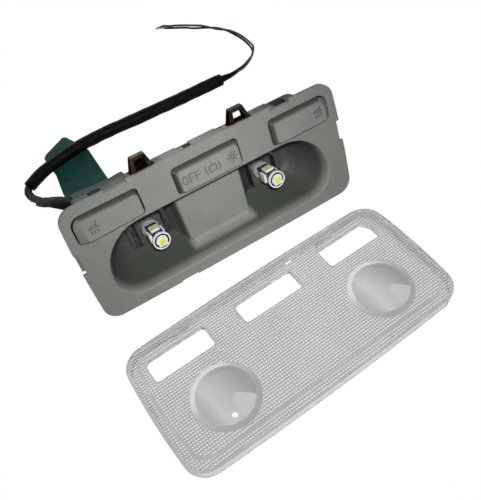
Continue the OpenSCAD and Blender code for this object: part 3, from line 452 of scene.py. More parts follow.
def tubeAlong(name, line, section, sides):
    # rings along a line; section(share, turn) gives the half width and half height there, in mm
    verts, faces, n = [], [], len(line)
    for i, p in enumerate(line):
        t = (line[min(i + 1, n - 1)] - line[max(i - 1, 0)]).normalized()
        a = t.cross(Vector((0, 0, 1))).normalized()
        b = t.cross(a)
        for k in range(sides):
            g = 2 * math.pi * (k + 0.5) / sides
            w, h = section(i / (n - 1), g)
            verts.append((p + a * w * math.cos(g) + b * h * math.sin(g)) * mm)
    for i in range(n - 1):
        for k in range(sides):
            j = (k + 1) % sides
            faces.append((i * sides + k, (i + 1) * sides + k, (i + 1) * sides + j, i * sides + j))
    faces += [tuple(range(sides)), tuple(range(n * sides - 1, (n - 1) * sides - 1, -1))]
    piece = meshPiece(name, verts, faces)
    mesh = piece.data
    uv = mesh.uv_layers.new(name="along")
    for face in mesh.polygons:
        for corner in face.loop_indices:
            ring, side = divmod(mesh.loops[corner].vertex_index, sides)
            last = max(mesh.loops[c].vertex_index % sides for c in face.loop_indices) == sides - 1
            if side == 0 and last:
                side = sides
            uv.data[corner].uv = (ring / (n - 1), side / sides)
    smooth(piece, 50)
    return piece


def clothCoat(name, look):
    # black cloth-backed and vinyl coats: dull, creased across, a shade lighter where the creases rise
    material, tree, shader = startMaterial(name)
    uv = addNode(tree, "ShaderNodeUVMap", {"uv_map": "along"})
    stretch = addNode(tree, "ShaderNodeMapping", None, {
        "Vector": uv.outputs["UV"], "Scale": (look["length"] / look["crease"], 5, 1)})
    crease = addNode(tree, "ShaderNodeTexNoise", None, {
        "Vector": stretch.outputs["Vector"], "Scale": 1.0, "Detail": 4.0, "Roughness": 0.6})
    fibre = addNode(tree, "ShaderNodeTexNoise", None, {
        "Vector": objectCoords(tree), "Scale": 1 / (0.7 * mm), "Detail": 3.0})
    height = addNode(tree, "ShaderNodeMath", {"operation": "MULTIPLY_ADD"}, {
        0: fibre.outputs["Fac"], 1: look["fibre"], 2: crease.outputs["Fac"]})
    bump = addNode(tree, "ShaderNodeBump", None, {
        "Height": height.outputs["Value"], "Strength": look["relief"], "Distance": 0.5 * mm})
    rough = addNode(tree, "ShaderNodeMapRange", None, {
        "Value": crease.outputs["Fac"], "From Min": 0.3, "From Max": 0.7,
        "To Min": look["roughness"] - 0.1, "To Max": look["roughness"] + 0.1})
    colour = addNode(tree, "ShaderNodeValToRGB", None, {"Fac": crease.outputs["Fac"]},
                     tuple(zip((0.3, 0.75), look["colours"])))
    setInputs(tree, shader, {
        "Base Color": colour.outputs["Color"], "Roughness": rough.outputs["Result"],
        "Normal": bump.outputs["Normal"], "IOR": 1.48, "Specular IOR Level": 0.1})
    return material


coats = {
    # split rubber sleeve at the housing, and the tape and the black block that stands in for shade under
    # the left rocker's well, of the same black
    "sleeveRubber": dict(colours=("#020303", "#090A0A"), roughness=0.5, length=52, crease=5,
                         fibre=0.15, relief=0.8),
    # cloth tape wound over the wires
    "tubeCloth": dict(colours=("#040505", "#0F1111"), roughness=0.48, length=150, crease=7,
                      fibre=0.3, relief=1.0),
    # smooth vinyl of the wires and leads
    "wireVinyl": dict(colours=("#0E0F10", "#191A1B"), roughness=0.45, length=200, crease=12,
                      fibre=0.1, relief=0.3),
    "greyVinyl": dict(colours=("#3F4A4C", "#5A6668"), roughness=0.4, length=110, crease=10,
                      fibre=0.1, relief=0.2),
}
finishes.update({name: clothCoat(name, look) for name, look in coats.items()})
finishes["tinnedCopper"] = rolledMetal("tinnedCopper", dict(
    colours=("#8A8C8C", "#B0B2B2"), roughness=0.3, patch=1.5))

harness = dict(sleeveWidth=(8.5, 7.5), sleeveHeight=(3.8, 3.6), bundle=3.2, tube=8.4, flare=0.08,
               loose=9, thinner=0.06, fullAfter=90, wrapPitch=11, wrapStep=0.14,
               shrinkWidth=(5.0, 3.2), shrinkHeight=(4.6, 2.2), lead=1.5, wrapWide=4.8, wrapHigh=3.8,
               strand=0.16, strandSpread=0.42, strandReach=(3.0, 4.2))


def finishPiece(piece, body, slot, material, *stoodFor):
    # a piece that has its materials already gives None
    if material:
        piece.data.materials.clear()
        piece.data.materials.append(finishes[material])
    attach(piece, body)
    if stoodFor:
        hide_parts(*stoodFor)
    return piece


def mix(ends, share):
    return ends[0] + (ends[1] - ends[0]) * share


# each section gives a tube's half width and half height at a share f of its length and a turn g
def sleeveSection(f, g):
    return (mix(harness["sleeveWidth"], f) / 2 * (1 - 0.02 * math.sin(f * 24)),
            mix(harness["sleeveHeight"], f) / 2 * (1 - 0.03 * math.cos(f * 31)))


def shrinkSection(f, g):
    return (mix(harness["shrinkWidth"], f) / 2 * (1 + 0.03 * math.sin(f * 15)),
            mix(harness["shrinkHeight"], f) / 2)


def wrapSection(f, g):
    return (harness["wrapWide"] / 2 * (1 - 0.03 * math.sin(f * 19) ** 2),
            harness["wrapHigh"] / 2 * (1 - 0.03 * math.cos(f * 23) ** 2))


def wireSection(f, g):
    # three wires show faintly as they turn round each other
    r = harness["bundle"] / 2 * (1 - 0.05 * (1 + math.cos(3 * g + f * 140)) / 2)
    return r, r


tubeLine, tubeLength = evenly(rounded(routes["tube"]), 0.7)


def tubeSection(f, g):
    # cloth wound on in a slow spiral over slightly uneven wires, loose at its left end
    s = f * tubeLength
    step = ((s / harness["wrapPitch"] + g / (2 * math.pi)) % 1.0)
    r = harness["tube"] / 2 - harness["wrapStep"] * (1 - step)
    r *= 1 - harness["thinner"] * (1 - min(1, s / harness["fullAfter"]))
    r *= 1 - 0.018 * (1 + math.sin(s * 0.35 + math.sin(s * 0.11) * 2))
    loose = max(0.0, 1 - s / harness["loose"])
    fold = 1 - 0.07 * loose * (1 + math.cos(3 * g + 0.7)) / 2
    return r * (1 + harness["flare"] * loose) * fold, r * fold


sleeve = tubeAlong("harnessSleeve", evenly(rounded(routes["sleeve"]), 0.8)[0], sleeveSection, 24)
tube = tubeAlong("harnessTube", tubeLine, tubeSection, 28)
shrink = tubeAlong("heatShrinkEnd", evenly(rounded(routes["shrink"]), 0.5)[0], shrinkSection, 20)
# the wires themselves run on through sleeve, tube and shrink sleeve
wireRoute = rounded(routes["sleeve"]) + rounded(routes["bundle"])[1:] + rounded(routes["tube"])[1:]
wireRoute.append(Vector(routes["shrink"][1]))
wireLine, wireLength = evenly(wireRoute, 0.9)
wires = tubeAlong("harnessWires", wireLine, wireSection, 18)
wrap = tubeAlong("harnessWrap", evenly(rounded(routes["bundle"]), 0.7)[0], wrapSection, 20)
finishPiece(wrap, "root", "harness_rubber", "sleeveRubber")
finishPiece(sleeve, "root", "harness_rubber", "sleeveRubber", "harness_sleeve")
finishPiece(tube, "root", "harness_rubber", "tubeCloth", "harness_tube")
finishPiece(shrink, "root", "harness_rubber", "sleeveRubber", "heat_shrink")
finishPiece(wires, "root", "harness_rubber", "wireVinyl", "harness_bundle")


def bareStrands(name, end, along, seed):
    # stripped copper strands, six round a seventh, fanned out a little
    draw, parts = random.Random(seed), []
    for i in range(7):
        turn = 2 * math.pi * i / 6
        side = Vector((-along.y, along.x, 0)) * math.cos(turn) + Vector((0, 0, 1)) * math.sin(turn)
        reach = 0 if i == 6 else harness["strandSpread"]
        start = end - along * 0.6 + side * reach
        tip = end + along * draw.uniform(*harness["strandReach"])
        tip += side * (reach + draw.uniform(0.1, 0.5))
        tip.z = max(tip.z, 0.3)
        strand, _ = evenly(rounded([start, start.lerp(tip, 0.5) + side * 0.05, tip], 2), 0.4)
        parts.append(tubeAlong(name + str(i), strand, lambda f, g: (harness["strand"],) * 2, 7))
    deselectAll()
    for part in parts:
        part.select_set(True)
    bpy.context.view_layer.objects.active = parts[0]
    bpy.ops.object.join()
    parts[0].name = name
    return parts[0]


for colour, finish, seed in (("black", "wireVinyl", 3), ("grey", "greyVinyl", 5)):
    line, length = evenly(rounded(routes[colour]), 0.6)
    lead = tubeAlong(colour + "Lead", line, lambda f, g: (
        harness["lead"] / 2 * (1 - 0.02 * (1 + math.sin(f * 60)) / 2), harness["lead"] / 2), 14)
    finishPiece(lead, "root", "lead_" + colour, finish, colour + "_lead")
    strands = bareStrands(colour + "LeadStrands", line[-1], (line[-1] - line[-3]).normalized(), seed)
    finishPiece(strands, "root", "lead_" + colour, "tinnedCopper")
print("harness: wires %.0f mm, tube %.0f mm" % (wireLength, tubeLength))

# cloth tape tab: its middle line as (y, z), and its two edges as (y, offset from the middle)
tape = dict(middle=-48.8, width=28.5, area=0.00378, thickness=0.45, step=1.1, columns=22,
            smear=(-48, 154.5, 0.8), hangs=(64, 72), lies=(118, 138), tail=(155, 165),
            cockle=1.1, ripple=0.35, curl=0.5, fray=0.5,
            line=[(58.6, 50.3), (59.7, 53), (60.7, 54.1), (62.5, 54), (65, 52.6), (69, 50.2),
                  (74, 46.8), (80, 38.5), (86, 29), (93, 18.5), (100, 9.5), (107, 3.8), (115, 0.9),
                  (128, 0.4), (142, 0.4), (158, 0.4), (172, 0.4)],
            left=[(0, -14.25), (124, -14.25), (142, -12), (161, -13), (164, -10.5), (172, 4)],
            right=[(0, 14.25), (151, 14.25), (167, 8), (171, 6.5), (172, 4.3)])


def stepAlong(pairs, at):
    for (a, x), (b, y) in zip(pairs, pairs[1:]):
        if at <= b:
            return x + (y - x) * (at - a) / (b - a)
    return pairs[-1][1]


def rise(at, start, stop):
    return min(1, max(0, (at - start) / (stop - start)))


def tapeSheet():
    line, length = evenly(rounded([(0, y, z) for y, z in tape["line"]]), tape["step"])
    verts, faces, m, n = [], [], tape["columns"], len(line)
    for i, p in enumerate(line):
        t = (line[min(i + 1, n - 1)] - line[max(i - 1, 0)]).normalized()
        up = Vector((0, -t.z, t.y))
        lo, hi = stepAlong(tape["left"], p.y), stepAlong(tape["right"], p.y)
        free = rise(p.y, *tape["hangs"]) * (1 - rise(p.y, *tape["lies"]))
        tail = rise(p.y, *tape["tail"])
        for k in range(m + 1):
            x = lo + (hi - lo) * k / m
            # soft cockles where it hangs free, 3.5 to 14 mm long, and a lifted torn end
            s = i * tape["step"]
            wave = noise.noise(Vector((x / 9, s / 14, 1.7))) * tape["cockle"] * free
            wave += noise.noise(Vector((x / 3.5, s / 5, 4.1))) * tape["ripple"] * (free + 0.4 * tail)
            curl = tape["curl"] * (free * (2 * x / tape["width"]) ** 2
                                   + tail * abs(noise.noise(Vector((x / 5, p.y / 6, 9)))))
            fray = tape["fray"] * tail * noise.noise(Vector((x / 1.6, 0, 3)))
            q = Vector((tape["middle"] + x, p.y + fray, p.z)) + up * (wave + curl)
            q.z = max(q.z, tape["thickness"] / 2 + 0.1)
            verts.append(tuple(q * mm))
    for i in range(n - 1):
        for k in range(m):
            a = i * (m + 1) + k
            faces.append((a, a + 1, a + m + 2, a + m + 1))
    piece = meshPiece("tapeTab", verts, faces)
    mesh = piece.data
    uv = mesh.uv_layers.new(name="weave")
    for face in mesh.polygons:
        for corner in face.loop_indices:
            i, k = divmod(mesh.loops[corner].vertex_index, m + 1)
            lo, hi = stepAlong(tape["left"], line[i].y), stepAlong(tape["right"], line[i].y)
            uv.data[corner].uv = (lo + (hi - lo) * k / m, i * tape["step"])
    pick(piece)
    thick = piece.modifiers.new("thickness", "SOLIDIFY")
    thick.thickness, thick.offset = tape["thickness"] * mm, 0
    bpy.ops.object.modifier_apply(modifier=thick.name)
    smooth(piece, 50)
    return piece, length


def tapeCloth():
    # teal cloth tape: a plain weave under a thin vinyl film, with adhesive bloom near the tube
    material, tree, shader = startMaterial("tapeCloth")
    uv = addNode(tree, "ShaderNodeUVMap", {"uv_map": "weave"})
    # real threads are 0.4 mm apart; drawn at 0.9 mm so that the weave shows
    warp = addNode(tree, "ShaderNodeTexWave", {"bands_direction": "X"}, {
        "Vector": uv.outputs["UV"], "Scale": 0.31 / 0.9, "Distortion": 0.6, "Detail": 1.0})
    weft = addNode(tree, "ShaderNodeTexWave", {"bands_direction": "Y"}, {
        "Vector": uv.outputs["UV"], "Scale": 0.31 / 0.9, "Distortion": 0.6, "Detail": 1.0})
    cross = addNode(tree, "ShaderNodeMath", {"operation": "MAXIMUM"}, {
        0: warp.outputs["Fac"], 1: weft.outputs["Fac"]})
    mottle = addNode(tree, "ShaderNodeTexNoise", None, {
        "Vector": objectCoords(tree), "Scale": 1 / (8 * mm), "Detail": 5.0, "Roughness": 0.65})
    bloom = addNode(tree, "ShaderNodeTexNoise", None, {
        "Vector": objectCoords(tree), "Scale": 1 / (3 * mm), "Detail": 6.0, "Roughness": 0.7})
    spots = addNode(tree, "ShaderNodeMapRange", None, {
        "Value": bloom.outputs["Fac"], "From Min": 0.6, "From Max": 0.72, "To Min": 0.0, "To Max": 0.55})
    base = addNode(tree, "ShaderNodeValToRGB", None, {"Fac": mottle.outputs["Fac"]},
                   ((0.35, "#113D37"), (0.7, "#1C5049")))
    bloomed = addNode(tree, "ShaderNodeMix", {"data_type": "RGBA"}, {
        "Factor": spots.outputs["Result"], 6: base.outputs["Color"], 7: linear("#35584F")})
    # a pale smear of adhesive where the tube was taped down
    coords = addNode(tree, "ShaderNodeTexCoord")
    away = addNode(tree, "ShaderNodeVectorMath", {"operation": "DISTANCE"}, {
        0: coords.outputs["Object"], 1: tuple(Vector(tape["smear"]) * mm)})
    torn = addNode(tree, "ShaderNodeMath", {"operation": "MULTIPLY_ADD"}, {
        0: bloom.outputs["Fac"], 1: -9 * mm, 2: away.outputs["Value"]})
    smear = maskOf(tree, (torn.outputs["Value"], 1.0 * mm, -1.5 * mm, "SMOOTHSTEP"))
    pale = addNode(tree, "ShaderNodeMix", {"data_type": "RGBA"}, {
        "Factor": smear, 6: bloomed.outputs[2], 7: linear("#56625F")})
    bump = addNode(tree, "ShaderNodeBump", None, {
        "Height": cross.outputs["Value"], "Strength": 0.35, "Distance": 0.12 * mm})
    setInputs(tree, shader, {
        "Base Color": pale.outputs[2], "Normal": bump.outputs["Normal"], "Roughness": 0.55,
        "Specular IOR Level": 0.2})
    return material


finishes["tapeCloth"] = tapeCloth()
tapeTab, tapeLength = tapeSheet()
finishPiece(tapeTab, "root", "tape_cloth", "tapeCloth", "tape_tab")
print("tape tab: %.0f mm long" % tapeLength)


def arcPoints(cx, cy, r, start, stop, steps=8, tall=None):
    # points on an arc, or on part of an ellipse where a second radius is given
    turns = [math.radians(start + (stop - start) * i / steps) for i in range(steps + 1)]
    return [(cx + r * math.cos(turn), cy + (tall or r) * math.sin(turn)) for turn in turns]


def bowedOutline(width, height, r, bowLong, bowShort):
    # round-cornered rectangle with bowed sides, as the lens and bezel are cut
    hx, hy = width / 2, height / 2
    ring = []
    corners = (arcPoints(hx - r, r - hy, r, -90, 0), arcPoints(hx - r, hy - r, r, 0, 90),
               arcPoints(r - hx, hy - r, r, 90, 180), arcPoints(r - hx, r - hy, r, 180, 270))
    for c in range(4):
        ring += corners[c]
        (ax, ay), (bx, by) = corners[c][-1], corners[(c + 1) % 4][0]
        ring += [(ax + (bx - ax) * i / 9, ay + (by - ay) * i / 9) for i in range(1, 9)]
    return [(x - math.copysign(1, x) * bowShort * (y / hy) ** 2 * abs(x / hx),
             y - math.copysign(1, y) * bowLong * (x / hx) ** 2 * abs(y / hy)) for x, y in ring]


def slab(name, outline, high):
    # closed block over an outline, from the table up, used as a cutter
    n = len(outline)
    verts = [(x * mm, y * mm, z * mm) for z in (0, high) for x, y in outline]
    faces = [tuple(range(n - 1, -1, -1)), tuple(range(n, 2 * n))]
    faces += [(i, (i + 1) % n, n + (i + 1) % n, n + i) for i in range(n)]
    return meshPiece(name, verts, faces)


def combine(piece, other, operation, solver="MANIFOLD"):
    pick(piece)
    change = piece.modifiers.new("change", "BOOLEAN")
    change.operation, change.object, change.solver = operation, other, solver
    if solver == "EXACT":
        change.use_self = True
        change.material_mode = "TRANSFER"
    bpy.ops.object.modifier_apply(modifier=change.name)
    bpy.data.objects.remove(other)
    return piece


def mergedCopy(nodeName, name):
    # a CAD node's mesh is loose triangles, so its copy is merged before it is worked on
    piece = bpy.data.objects.new(name, nodes[nodeName].data.copy())
    bpy.context.scene.collection.objects.link(piece)
    editAll(piece, bpy.ops.mesh.customdata_custom_splitnormals_clear,
            lambda: bpy.ops.mesh.remove_doubles(threshold=0.000002))
    return piece


def prismSheet(name, level):
    # a sheet of small square pyramids: every second point of a grid is raised
    width, height, (over, under) = lens["width"], lens["height"], lens["sunk"]
    base = level - over
    px, py = lens["pitch"]
    nx, ny = 2 * round(width / px / 2), 2 * round(height / py / 2)
    deselectAll()
    bpy.ops.mesh.primitive_grid_add(x_subdivisions=2 * nx, y_subdivisions=2 * ny, size=1)
    sheet = bpy.context.object
    sheet.name = name
    columns = 2 * nx + 1
    for v in sheet.data.vertices:
        row, column = divmod(v.index, columns)
        peak = row % 2 == 1 and column % 2 == 1
        v.co = (v.co.x * nx * px * mm, v.co.y * ny * py * mm,
                (base + (lens["prism"] if peak else 0)) * mm)
    editAll(sheet, lambda: bpy.ops.mesh.extrude_region_move(
        TRANSFORM_OT_translate={"value": (0, 0, -2 * mm)}))
    for v in sheet.data.vertices:
        if v.co.z < (base - 0.5) * mm:
            v.co.z = (level - under) * mm
    editAll(sheet, faceOut)
    return sheet


def windowOutline(x, width, grow, chamfered):
    # the outer upper corner of the right window is cut off straight
    hx, hy = width / 2 + grow, lens["windowHigh"] / 2 + grow
    down, along = [c + grow * 0.4 for c in lens["chamfer"]]
    r, wide = lens["windowCorners"]
    ring = arcPoints(hx - r, r - hy, r, -90, 0)
    ring += [(hx, hy - down), (hx - along, hy)] if chamfered else arcPoints(hx - r, hy - r, r, 0, 90)
    ring += arcPoints(wide - hx, hy - wide, wide, 90, 180) + arcPoints(r - hx, r - hy, r, 180, 270)
    return [(x + a, lens["windowY"] + b) for a, b in ring]


def buildLens():
    # worked on about its own middle and put in place at the end
    toLens = (Matrix.Translation((lens["place"][0] * mm, lens["place"][1] * mm, 0))
              @ Matrix.Rotation(math.radians(lens["turn"]), 4, "Z"))
    body = mergedCopy("lens", "prismaticLens")
    body.data.transform(toLens.inverted())
    bow, edge, tall = (lens["bowLong"], lens["bowShort"]), lens["edge"], lens["tall"]

    def outline(inset, corner):
        return bowedOutline(lens["width"] - 2 * inset, lens["height"] - 2 * inset, corner, *bow)

    field = prismSheet("fieldPrisms", lens["field"])
    inside, outside = [outline(lens["border"] + gap, lens["corner"] - 4) for gap in (edge, -edge)]
    combine(field, slab("fieldCut", inside, tall), "INTERSECT")
    border = prismSheet("borderPrisms", lens["top"])
    combine(border, slab("rimCut", outline(lens["rim"], lens["corner"] - 1), tall), "INTERSECT")
    combine(border, slab("stepCut", outside, tall), "DIFFERENCE")
    for i, (x, width) in enumerate(lens["windows"]):
        window = windowOutline(x, width, lens["frameWidth"], chamfered=i == 2)
        combine(field, slab("windowCut", window, tall), "DIFFERENCE")
    for side in (-1, 1):
        ring = arcPoints(side * lens["spotX"], lens["spotY"], lens["spotRadius"] + 0.3, 0, 360, 72)[:-1]
        combine(field, slab("spotCut", ring, tall), "DIFFERENCE")
    print("lens sheets:", len(body.data.polygons), len(field.data.polygons), len(border.data.polygons))
    combine(body, field, "UNION")
    combine(body, border, "UNION")
    finishPiece(body, "root", "lens_clear", "lensAcrylic", "lens")
    for finish in ("prismAcrylic", "spotAcrylic", "stepAcrylic"):
        body.data.materials.append(finishes[finish])
    for face in body.data.polygons:
        # the prisms slope, the step between field and border is flat, and the back stays clear
        c, up = face.center / mm, face.normal.z
        spot = min(math.hypot(c.x - side * lens["spotX"], c.y - lens["spotY"]) for side in (-1, 1))
        if up < 0.1 or c.z < 5:
            face.material_index = 0
        elif spot < lens["spotRadius"] + 0.4:
            face.material_index = 2
        else:
            face.material_index = 1 if up < 0.99 else 3
    body.data.transform(toLens)
    smooth(body, 14)
    return body


prismaticLens = buildLens()
print("lens:", len(prismaticLens.data.polygons), "faces")

# rockers with their engraved signs
rockers = dict(row=55.1, pin=-4.0, face=8.5, crown=1.2, cut=0.28, clear=0.6, stroke=0.62,
               left=dict(x=-56, width=36.5, tilt=3.0), centre=dict(x=0, width=38.5, tilt=0.0),
               right=dict(x=56, width=36.5, tilt=0.0))


def lampSign(x, y):
    # reading lamp: a tilted shade with its stem and three rays
    shade = [(-2.6, 0.6), (-1.2, 1.9), (1.4, 1.9), (2.6, 0.6), (-2.6, 0.6)]
    strokes = [shade, [(0.8, 1.9), (2.4, 3.6)]] + [[(a, -0.5), (a, -2.4)] for a in (-1.6, 0, 1.6)]
    return [[(x + a, y + b) for a, b in stroke] for stroke in strokes]


def sunSign(x, y):
    # a small ring with eight rays
    rays = [math.radians(a) for a in range(0, 360, 45)]
    return [arcPoints(x, y, 0.9, 0, 360, 12)] + [
        [(x + r * math.cos(a), y + r * math.sin(a)) for r in (1.7, 3.0)] for a in rays]


signs = dict(
    left=lampSign(-9.3, -0.1), right=lampSign(9.6, 0.4),
    centre=[
        arcPoints(-14.6, 0.2, 1.3, 0, 360, 16, tall=2.2),
        [(-12.0, -2.0), (-12.0, 2.4), (-9.8, 2.4)], [(-12.0, 0.3), (-10.2, 0.3)],
        [(-8.6, -2.0), (-8.6, 2.4), (-6.4, 2.4)], [(-8.6, 0.3), (-6.8, 0.3)],
        # door sign: a lamp between two opened doors
        [(-2.6, 2.2), (-3.1, -0.2), (-2.4, -2.2)], [(4.6, 2.2), (5.1, -0.2), (4.4, -2.2)],
        [(-0.8, 1.6), (2.8, 1.6), (3.2, 0.2), (2.8, -1.6), (-0.8, -1.6), (-1.2, 0.2), (-0.8, 1.6)],
        [(1.0, 2.4), (1.0, 3.0)]] + sunSign(12.6, 0.4))


def signCutter(name, strokes, radius):
    # each stroke is a short trench that follows the crowned face
    verts, faces = [], []
    half = rockers["stroke"] / 2

    def crowned(x, y, z):
        return x * mm, y * mm, (rockers["face"] - x * x / (2 * radius) + z) * mm

    for stroke in strokes:
        for (ax, ay), (bx, by) in zip(stroke, stroke[1:]):
            t = Vector((bx - ax, by - ay)).normalized()
            side = Vector((-t.y, t.x)) * half
            a, b = Vector((ax, ay)) - t * half * 0.7, Vector((bx, by)) + t * half * 0.7
            ring = (a - side, b - side, b + side, a + side)
            base = len(verts)
            verts += [crowned(p.x, p.y, z) for z in (-rockers["cut"], rockers["clear"]) for p in ring]
            faces += [tuple(base + i for i in f) for f in (
                (3, 2, 1, 0), (4, 5, 6, 7), (0, 1, 5, 4), (1, 2, 6, 5), (2, 3, 7, 6), (3, 0, 4, 7))]
    return meshPiece(name, verts, faces)


# painted shade: the faces of the engraved signs' recesses are painted darker
finishes["signPaint"] = mouldedPlastic("signPaint", dict(
    colours=("#666964", "#727571"), roughness=0.6, grain=0.3, mottle=4, relief=0.2, edge=0.1, ior=1.5))


def buildRocker(side):
    look = rockers[side]
    radius = (look["width"] / 2) ** 2 / (2 * rockers["crown"])
    place = (onBezel @ Matrix.Translation((look["x"] * mm, rockers["row"] * mm, rockers["pin"] * mm))
             @ Matrix.Rotation(math.radians(look["tilt"]), 4, "Y"))
    piece = mergedCopy(side + "_rocker", side + "RockerCap")
    piece.data.transform(place.inverted())
    piece.data.materials.clear()
    piece.data.materials.append(finishes["rockerAbs"])
    cutter = signCutter(side + "Signs", signs[side], radius)
    cutter.data.materials.append(finishes["signPaint"])
    combine(piece, cutter, "DIFFERENCE", "EXACT")
    piece.data.transform(place)
    smooth(piece, 28)
    finishPiece(piece, side + "_rocker", "rocker_plastic", None, side + "_rocker")


for side in ("left", "centre", "right"):
    buildRocker(side)
print("rockers engraved")

# raised stops on the frame's upper wall, as [start, end] along the bezel
stops = dict(spans=((-24, -10.4), (-3, 12.8), (32.2, 43.6)), low=66.2, high=67.8,
             back=-10.3, front=-2.15)
# a black block under the left rocker's well, past the end of the frame, stands in for shade there and
# keeps light from passing the rocker
wellShadeBox = dict(low=(-75.9, 46.2, -9.35), high=(-67.9, 57, -8.75))


def bezelBlock(name, low, high, slot, finish):
    # a block between two corners in the bezel's own millimetres, with its edges rounded
    deselectAll()
    bpy.ops.mesh.primitive_cube_add(size=1)
    block = bpy.context.object
    block.name = name
    low, high = Vector(low), Vector(high)
    block.data.transform(onBezel @ Matrix.Translation((low + high) / 2 * mm)
                         @ Matrix.Diagonal((*((high - low) * mm), 1)))
    pick(block)
    rounding = block.modifiers.new("rounding", "BEVEL")
    rounding.width, rounding.segments = min(0.3, (high.z - low.z) / 4) * mm, 2
    bpy.ops.object.modifier_apply(modifier=rounding.name)
    smooth(block, 30)
    finishPiece(block, "root", slot, finish)


for start, end in stops["spans"]:
    bezelBlock("frameStop", (start, stops["low"], stops["back"]), (end, stops["high"], stops["front"]),
               "bezel_plastic", "trimAbs")
# the black block that stands in for shade under the left rocker's well
bezelBlock("wellFoam", wellShadeBox["low"], wellShadeBox["high"], "harness_rubber", "sleeveRubber")

# the left clip's rear leg is closed by a tongue, as the photo shows through its window
tongue = dict(middle=-30.5, foot=(66.6, -9.6), top=(74.3, -8.45), wide=8.4, narrow=4.4, thick=0.25)


def clipTongue():
    (lowY, lowZ), (highY, highZ), half = tongue["foot"], tongue["top"], tongue["thick"] / 2
    corners = [(side * width / 2, y, z + half * back) for back in (-1, 1)
               for y, z, width in ((lowY, lowZ, tongue["wide"]), (highY, highZ, tongue["narrow"]))
               for side in (-1, 1)]
    leaf = meshPiece(
        "leftClipTongue", [onBezel @ (Vector((x + tongue["middle"], y, z)) * mm) for x, y, z in corners],
        [(0, 2, 3, 1), (4, 5, 7, 6), (0, 1, 5, 4), (1, 3, 7, 5), (3, 2, 6, 7), (2, 0, 4, 6)])
    editAll(leaf, faceOut)
    finishPiece(leaf, "root", "clip_steel", "passivatedZinc")


clipTongue()
# the foam in this print is the black block that stands in for shade under the left rocker's well
print("stops, foam and clip tongue added")

# bulbs: raised rim and dark gap on the front board, phosphor in white frames
bulb = dict(rim=0.75, rimRise=0.12, gapWide=1.0, frame=0.75, phosphor=0.06, smallestChip=4)


def selectFaces(piece, wanted):
    pick(piece)
    bpy.ops.object.mode_set(mode="EDIT")
    bpy.ops.mesh.select_mode(type="FACE")
    bpy.ops.mesh.select_all(action="DESELECT")
    bpy.ops.object.mode_set(mode="OBJECT")
    for face in piece.data.polygons:
        face.select = wanted(face)
    bpy.ops.object.mode_set(mode="EDIT")


def boxOf(piece):
    low = [min(v.co[i] for v in piece.data.vertices) for i in range(3)]
    high = [max(v.co[i] for v in piece.data.vertices) for i in range(3)]
    return Vector(low), Vector(high)


def buildBulb(name):
    measured = mergedCopy(name + "_bulb_front", "measured")
    measured.data.transform(onBezel.inverted())
    low, high = boxOf(measured)
    bpy.data.objects.remove(measured)
    place = onBezel @ Matrix.Translation(((low.x + high.x) / 2, (low.y + high.y) / 2, 0))
    deselectAll()
    bpy.ops.mesh.primitive_cylinder_add(vertices=64, radius=(high.x - low.x) / 2, depth=high.z - low.z,
                                        location=(0, 0, (low.z + high.z) / 2))
    front = bpy.context.object
    front.name = name + "BulbFront"
    bpy.ops.object.transform_apply(location=True, rotation=False, scale=False)
    for finish in ("frontBoard", "boardMask"):
        front.data.materials.append(finishes[finish])
    # the dark board shows between the bright rim and the chip's pad
    selectFaces(front, lambda f: f.normal.z > 0.99)
    bpy.ops.mesh.inset(thickness=bulb["rim"] * mm)
    bpy.ops.mesh.extrude_region_move(TRANSFORM_OT_translate={"value": (0, 0, -bulb["rimRise"] * mm)})
    front.active_material_index = 1
    bpy.ops.object.material_slot_assign()
    bpy.ops.mesh.inset(thickness=bulb["gapWide"] * mm)
    bpy.ops.mesh.extrude_region_move(TRANSFORM_OT_translate={"value": (0, 0, bulb["rimRise"] * mm)})
    front.active_material_index = 0
    bpy.ops.object.material_slot_assign()
    bpy.ops.object.mode_set(mode="OBJECT")
    chips = mergedCopy(name + "_bulb_chips", name + "BulbChips")
    chips.data.transform(place.inverted())
    # the solid's triangles join to one face on each flat side
    editAll(chips, lambda: bpy.ops.mesh.dissolve_limited(angle_limit=math.radians(1)))
    chips.data.materials.clear()
    for finish in ("frontBoard", "chipPhosphor"):
        chips.data.materials.append(finishes[finish])
    reach, _, top = boxOf(chips)[1]

    def outward(face):
        c, n = face.center, face.normal
        if face.area < bulb["smallestChip"] * mm ** 2:
            return False
        if n.z > 0.99:
            return c.z > top - 0.05 * mm
        return abs(n.z) < 0.1 and c.x * n.x + c.y * n.y > reach - 0.1 * mm

    selectFaces(chips, outward)
    bpy.ops.mesh.inset(thickness=bulb["frame"] * mm)
    chips.active_material_index = 1
    bpy.ops.object.material_slot_assign()
    bpy.ops.mesh.extrude_region_shrink_fatten(
        TRANSFORM_OT_shrink_fatten={"value": bulb["phosphor"] * mm})
    bpy.ops.object.mode_set(mode="OBJECT")
    for piece, node, slot in ((front, "_bulb_front", "bulb_ring"), (chips, "_bulb_chips", "bulb_chip")):
        piece.data.transform(place)
        smooth(piece, 30)
        finishPiece(piece, "root", slot, None, name + node)


for name in ("left", "right"):
    buildBulb(name)
print("bulb fronts and chips dressed")

# floor, world and lamps
studio = dict(paper="#A8A8A8", backdrop=1.0, glow=1.1, fill=0.09, shadowShare=0.1, mirrored=0.4,
              keyPlaces=((-0.078, -0.165, 0.33), (-0.058, -0.177, 0.33)), keySize=0.008, keyPower=0.075,
              keySpread=62, topPlace=(0.1, -0.5, 0.75), topSize=0.5, topPower=0.3,
              backPlace=(0.05, 0.62, 0.16), backSize=0.3, backPower=0.5, aim=(0.005, 0.04, 0.05))
deselectAll()
bpy.ops.mesh.primitive_plane_add(size=6, location=(0, 0, -0.0002))
floor = bpy.context.object
floor.name = "studioFloor"


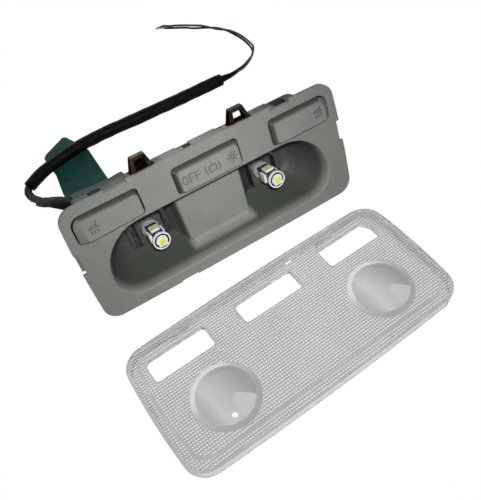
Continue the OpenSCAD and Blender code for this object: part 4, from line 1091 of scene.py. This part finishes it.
def seenRays(tree):
    # 1 for what the camera or a view through the lens meets, and a share of it for reflections
    path = addNode(tree, "ShaderNodeLightPath")
    mirrored = addNode(tree, "ShaderNodeMath", {"operation": "MULTIPLY"}, {
        0: path.outputs["Is Glossy Ray"], 1: studio["mirrored"]})
    either = addNode(tree, "ShaderNodeMath", {"operation": "MAXIMUM"}, {
        0: path.outputs["Is Camera Ray"], 1: mirrored.outputs["Value"]})
    return addNode(tree, "ShaderNodeMath", {"operation": "MAXIMUM"}, {
        0: either.outputs["Value"], 1: path.outputs["Is Transmission Ray"]}).outputs["Value"]


def studioPaper():
    # white sweep: the camera sees it white, with a share of its own soft shadow left in
    material, tree, shader = startMaterial("studioPaper")
    setInputs(tree, shader, {
        "Base Color": linear(studio["paper"]), "Roughness": 0.9, "Specular IOR Level": 0.0})
    glow = addNode(tree, "ShaderNodeEmission", None, {
        "Color": linear("#FFFFFF"), "Strength": studio["glow"]})
    share = addNode(tree, "ShaderNodeMath", {"operation": "MULTIPLY"}, {
        0: seenRays(tree), 1: 1 - studio["shadowShare"]})
    both = addNode(tree, "ShaderNodeMixShader", None, {
        "Fac": share.outputs["Value"], 1: shader.outputs["BSDF"], 2: glow.outputs["Emission"]})
    setInputs(tree, tree.nodes["Material Output"], {"Surface": both.outputs["Shader"]})
    return material


floor.data.materials.append(studioPaper())

world = bpy.data.worlds.new("studioWorld")
world.use_nodes = True
bpy.context.scene.world = world
level = addNode(world.node_tree, "ShaderNodeMapRange", None, {
    "Value": seenRays(world.node_tree), "To Min": studio["fill"], "To Max": studio["backdrop"]})
setInputs(world.node_tree, world.node_tree.nodes["Background"], {
    "Color": linear("#FFFFFF"), "Strength": level.outputs["Result"]})


def areaLamp(name, place, size, power, spread=180):
    lampData = bpy.data.lights.new(name, "AREA")
    lampData.shape, lampData.size, lampData.energy = "SQUARE", size, power
    lampData.spread = math.radians(spread)
    lamp = bpy.data.objects.new(name, lampData)
    lamp.location = place
    towards = Vector(studio["aim"]) - Vector(place)
    lamp.rotation_euler = towards.to_track_quat("-Z", "Y").to_euler()
    bpy.context.scene.collection.objects.link(lamp)


for place in studio["keyPlaces"]:
    areaLamp("pairedKey", place, studio["keySize"], studio["keyPower"], studio["keySpread"])
areaLamp("topSoftbox", studio["topPlace"], studio["topSize"], studio["topPower"])
areaLamp("backSoftbox", studio["backPlace"], studio["backSize"], studio["backPower"])
bpy.context.scene.view_settings.view_transform = "Standard"
print("studio ready")
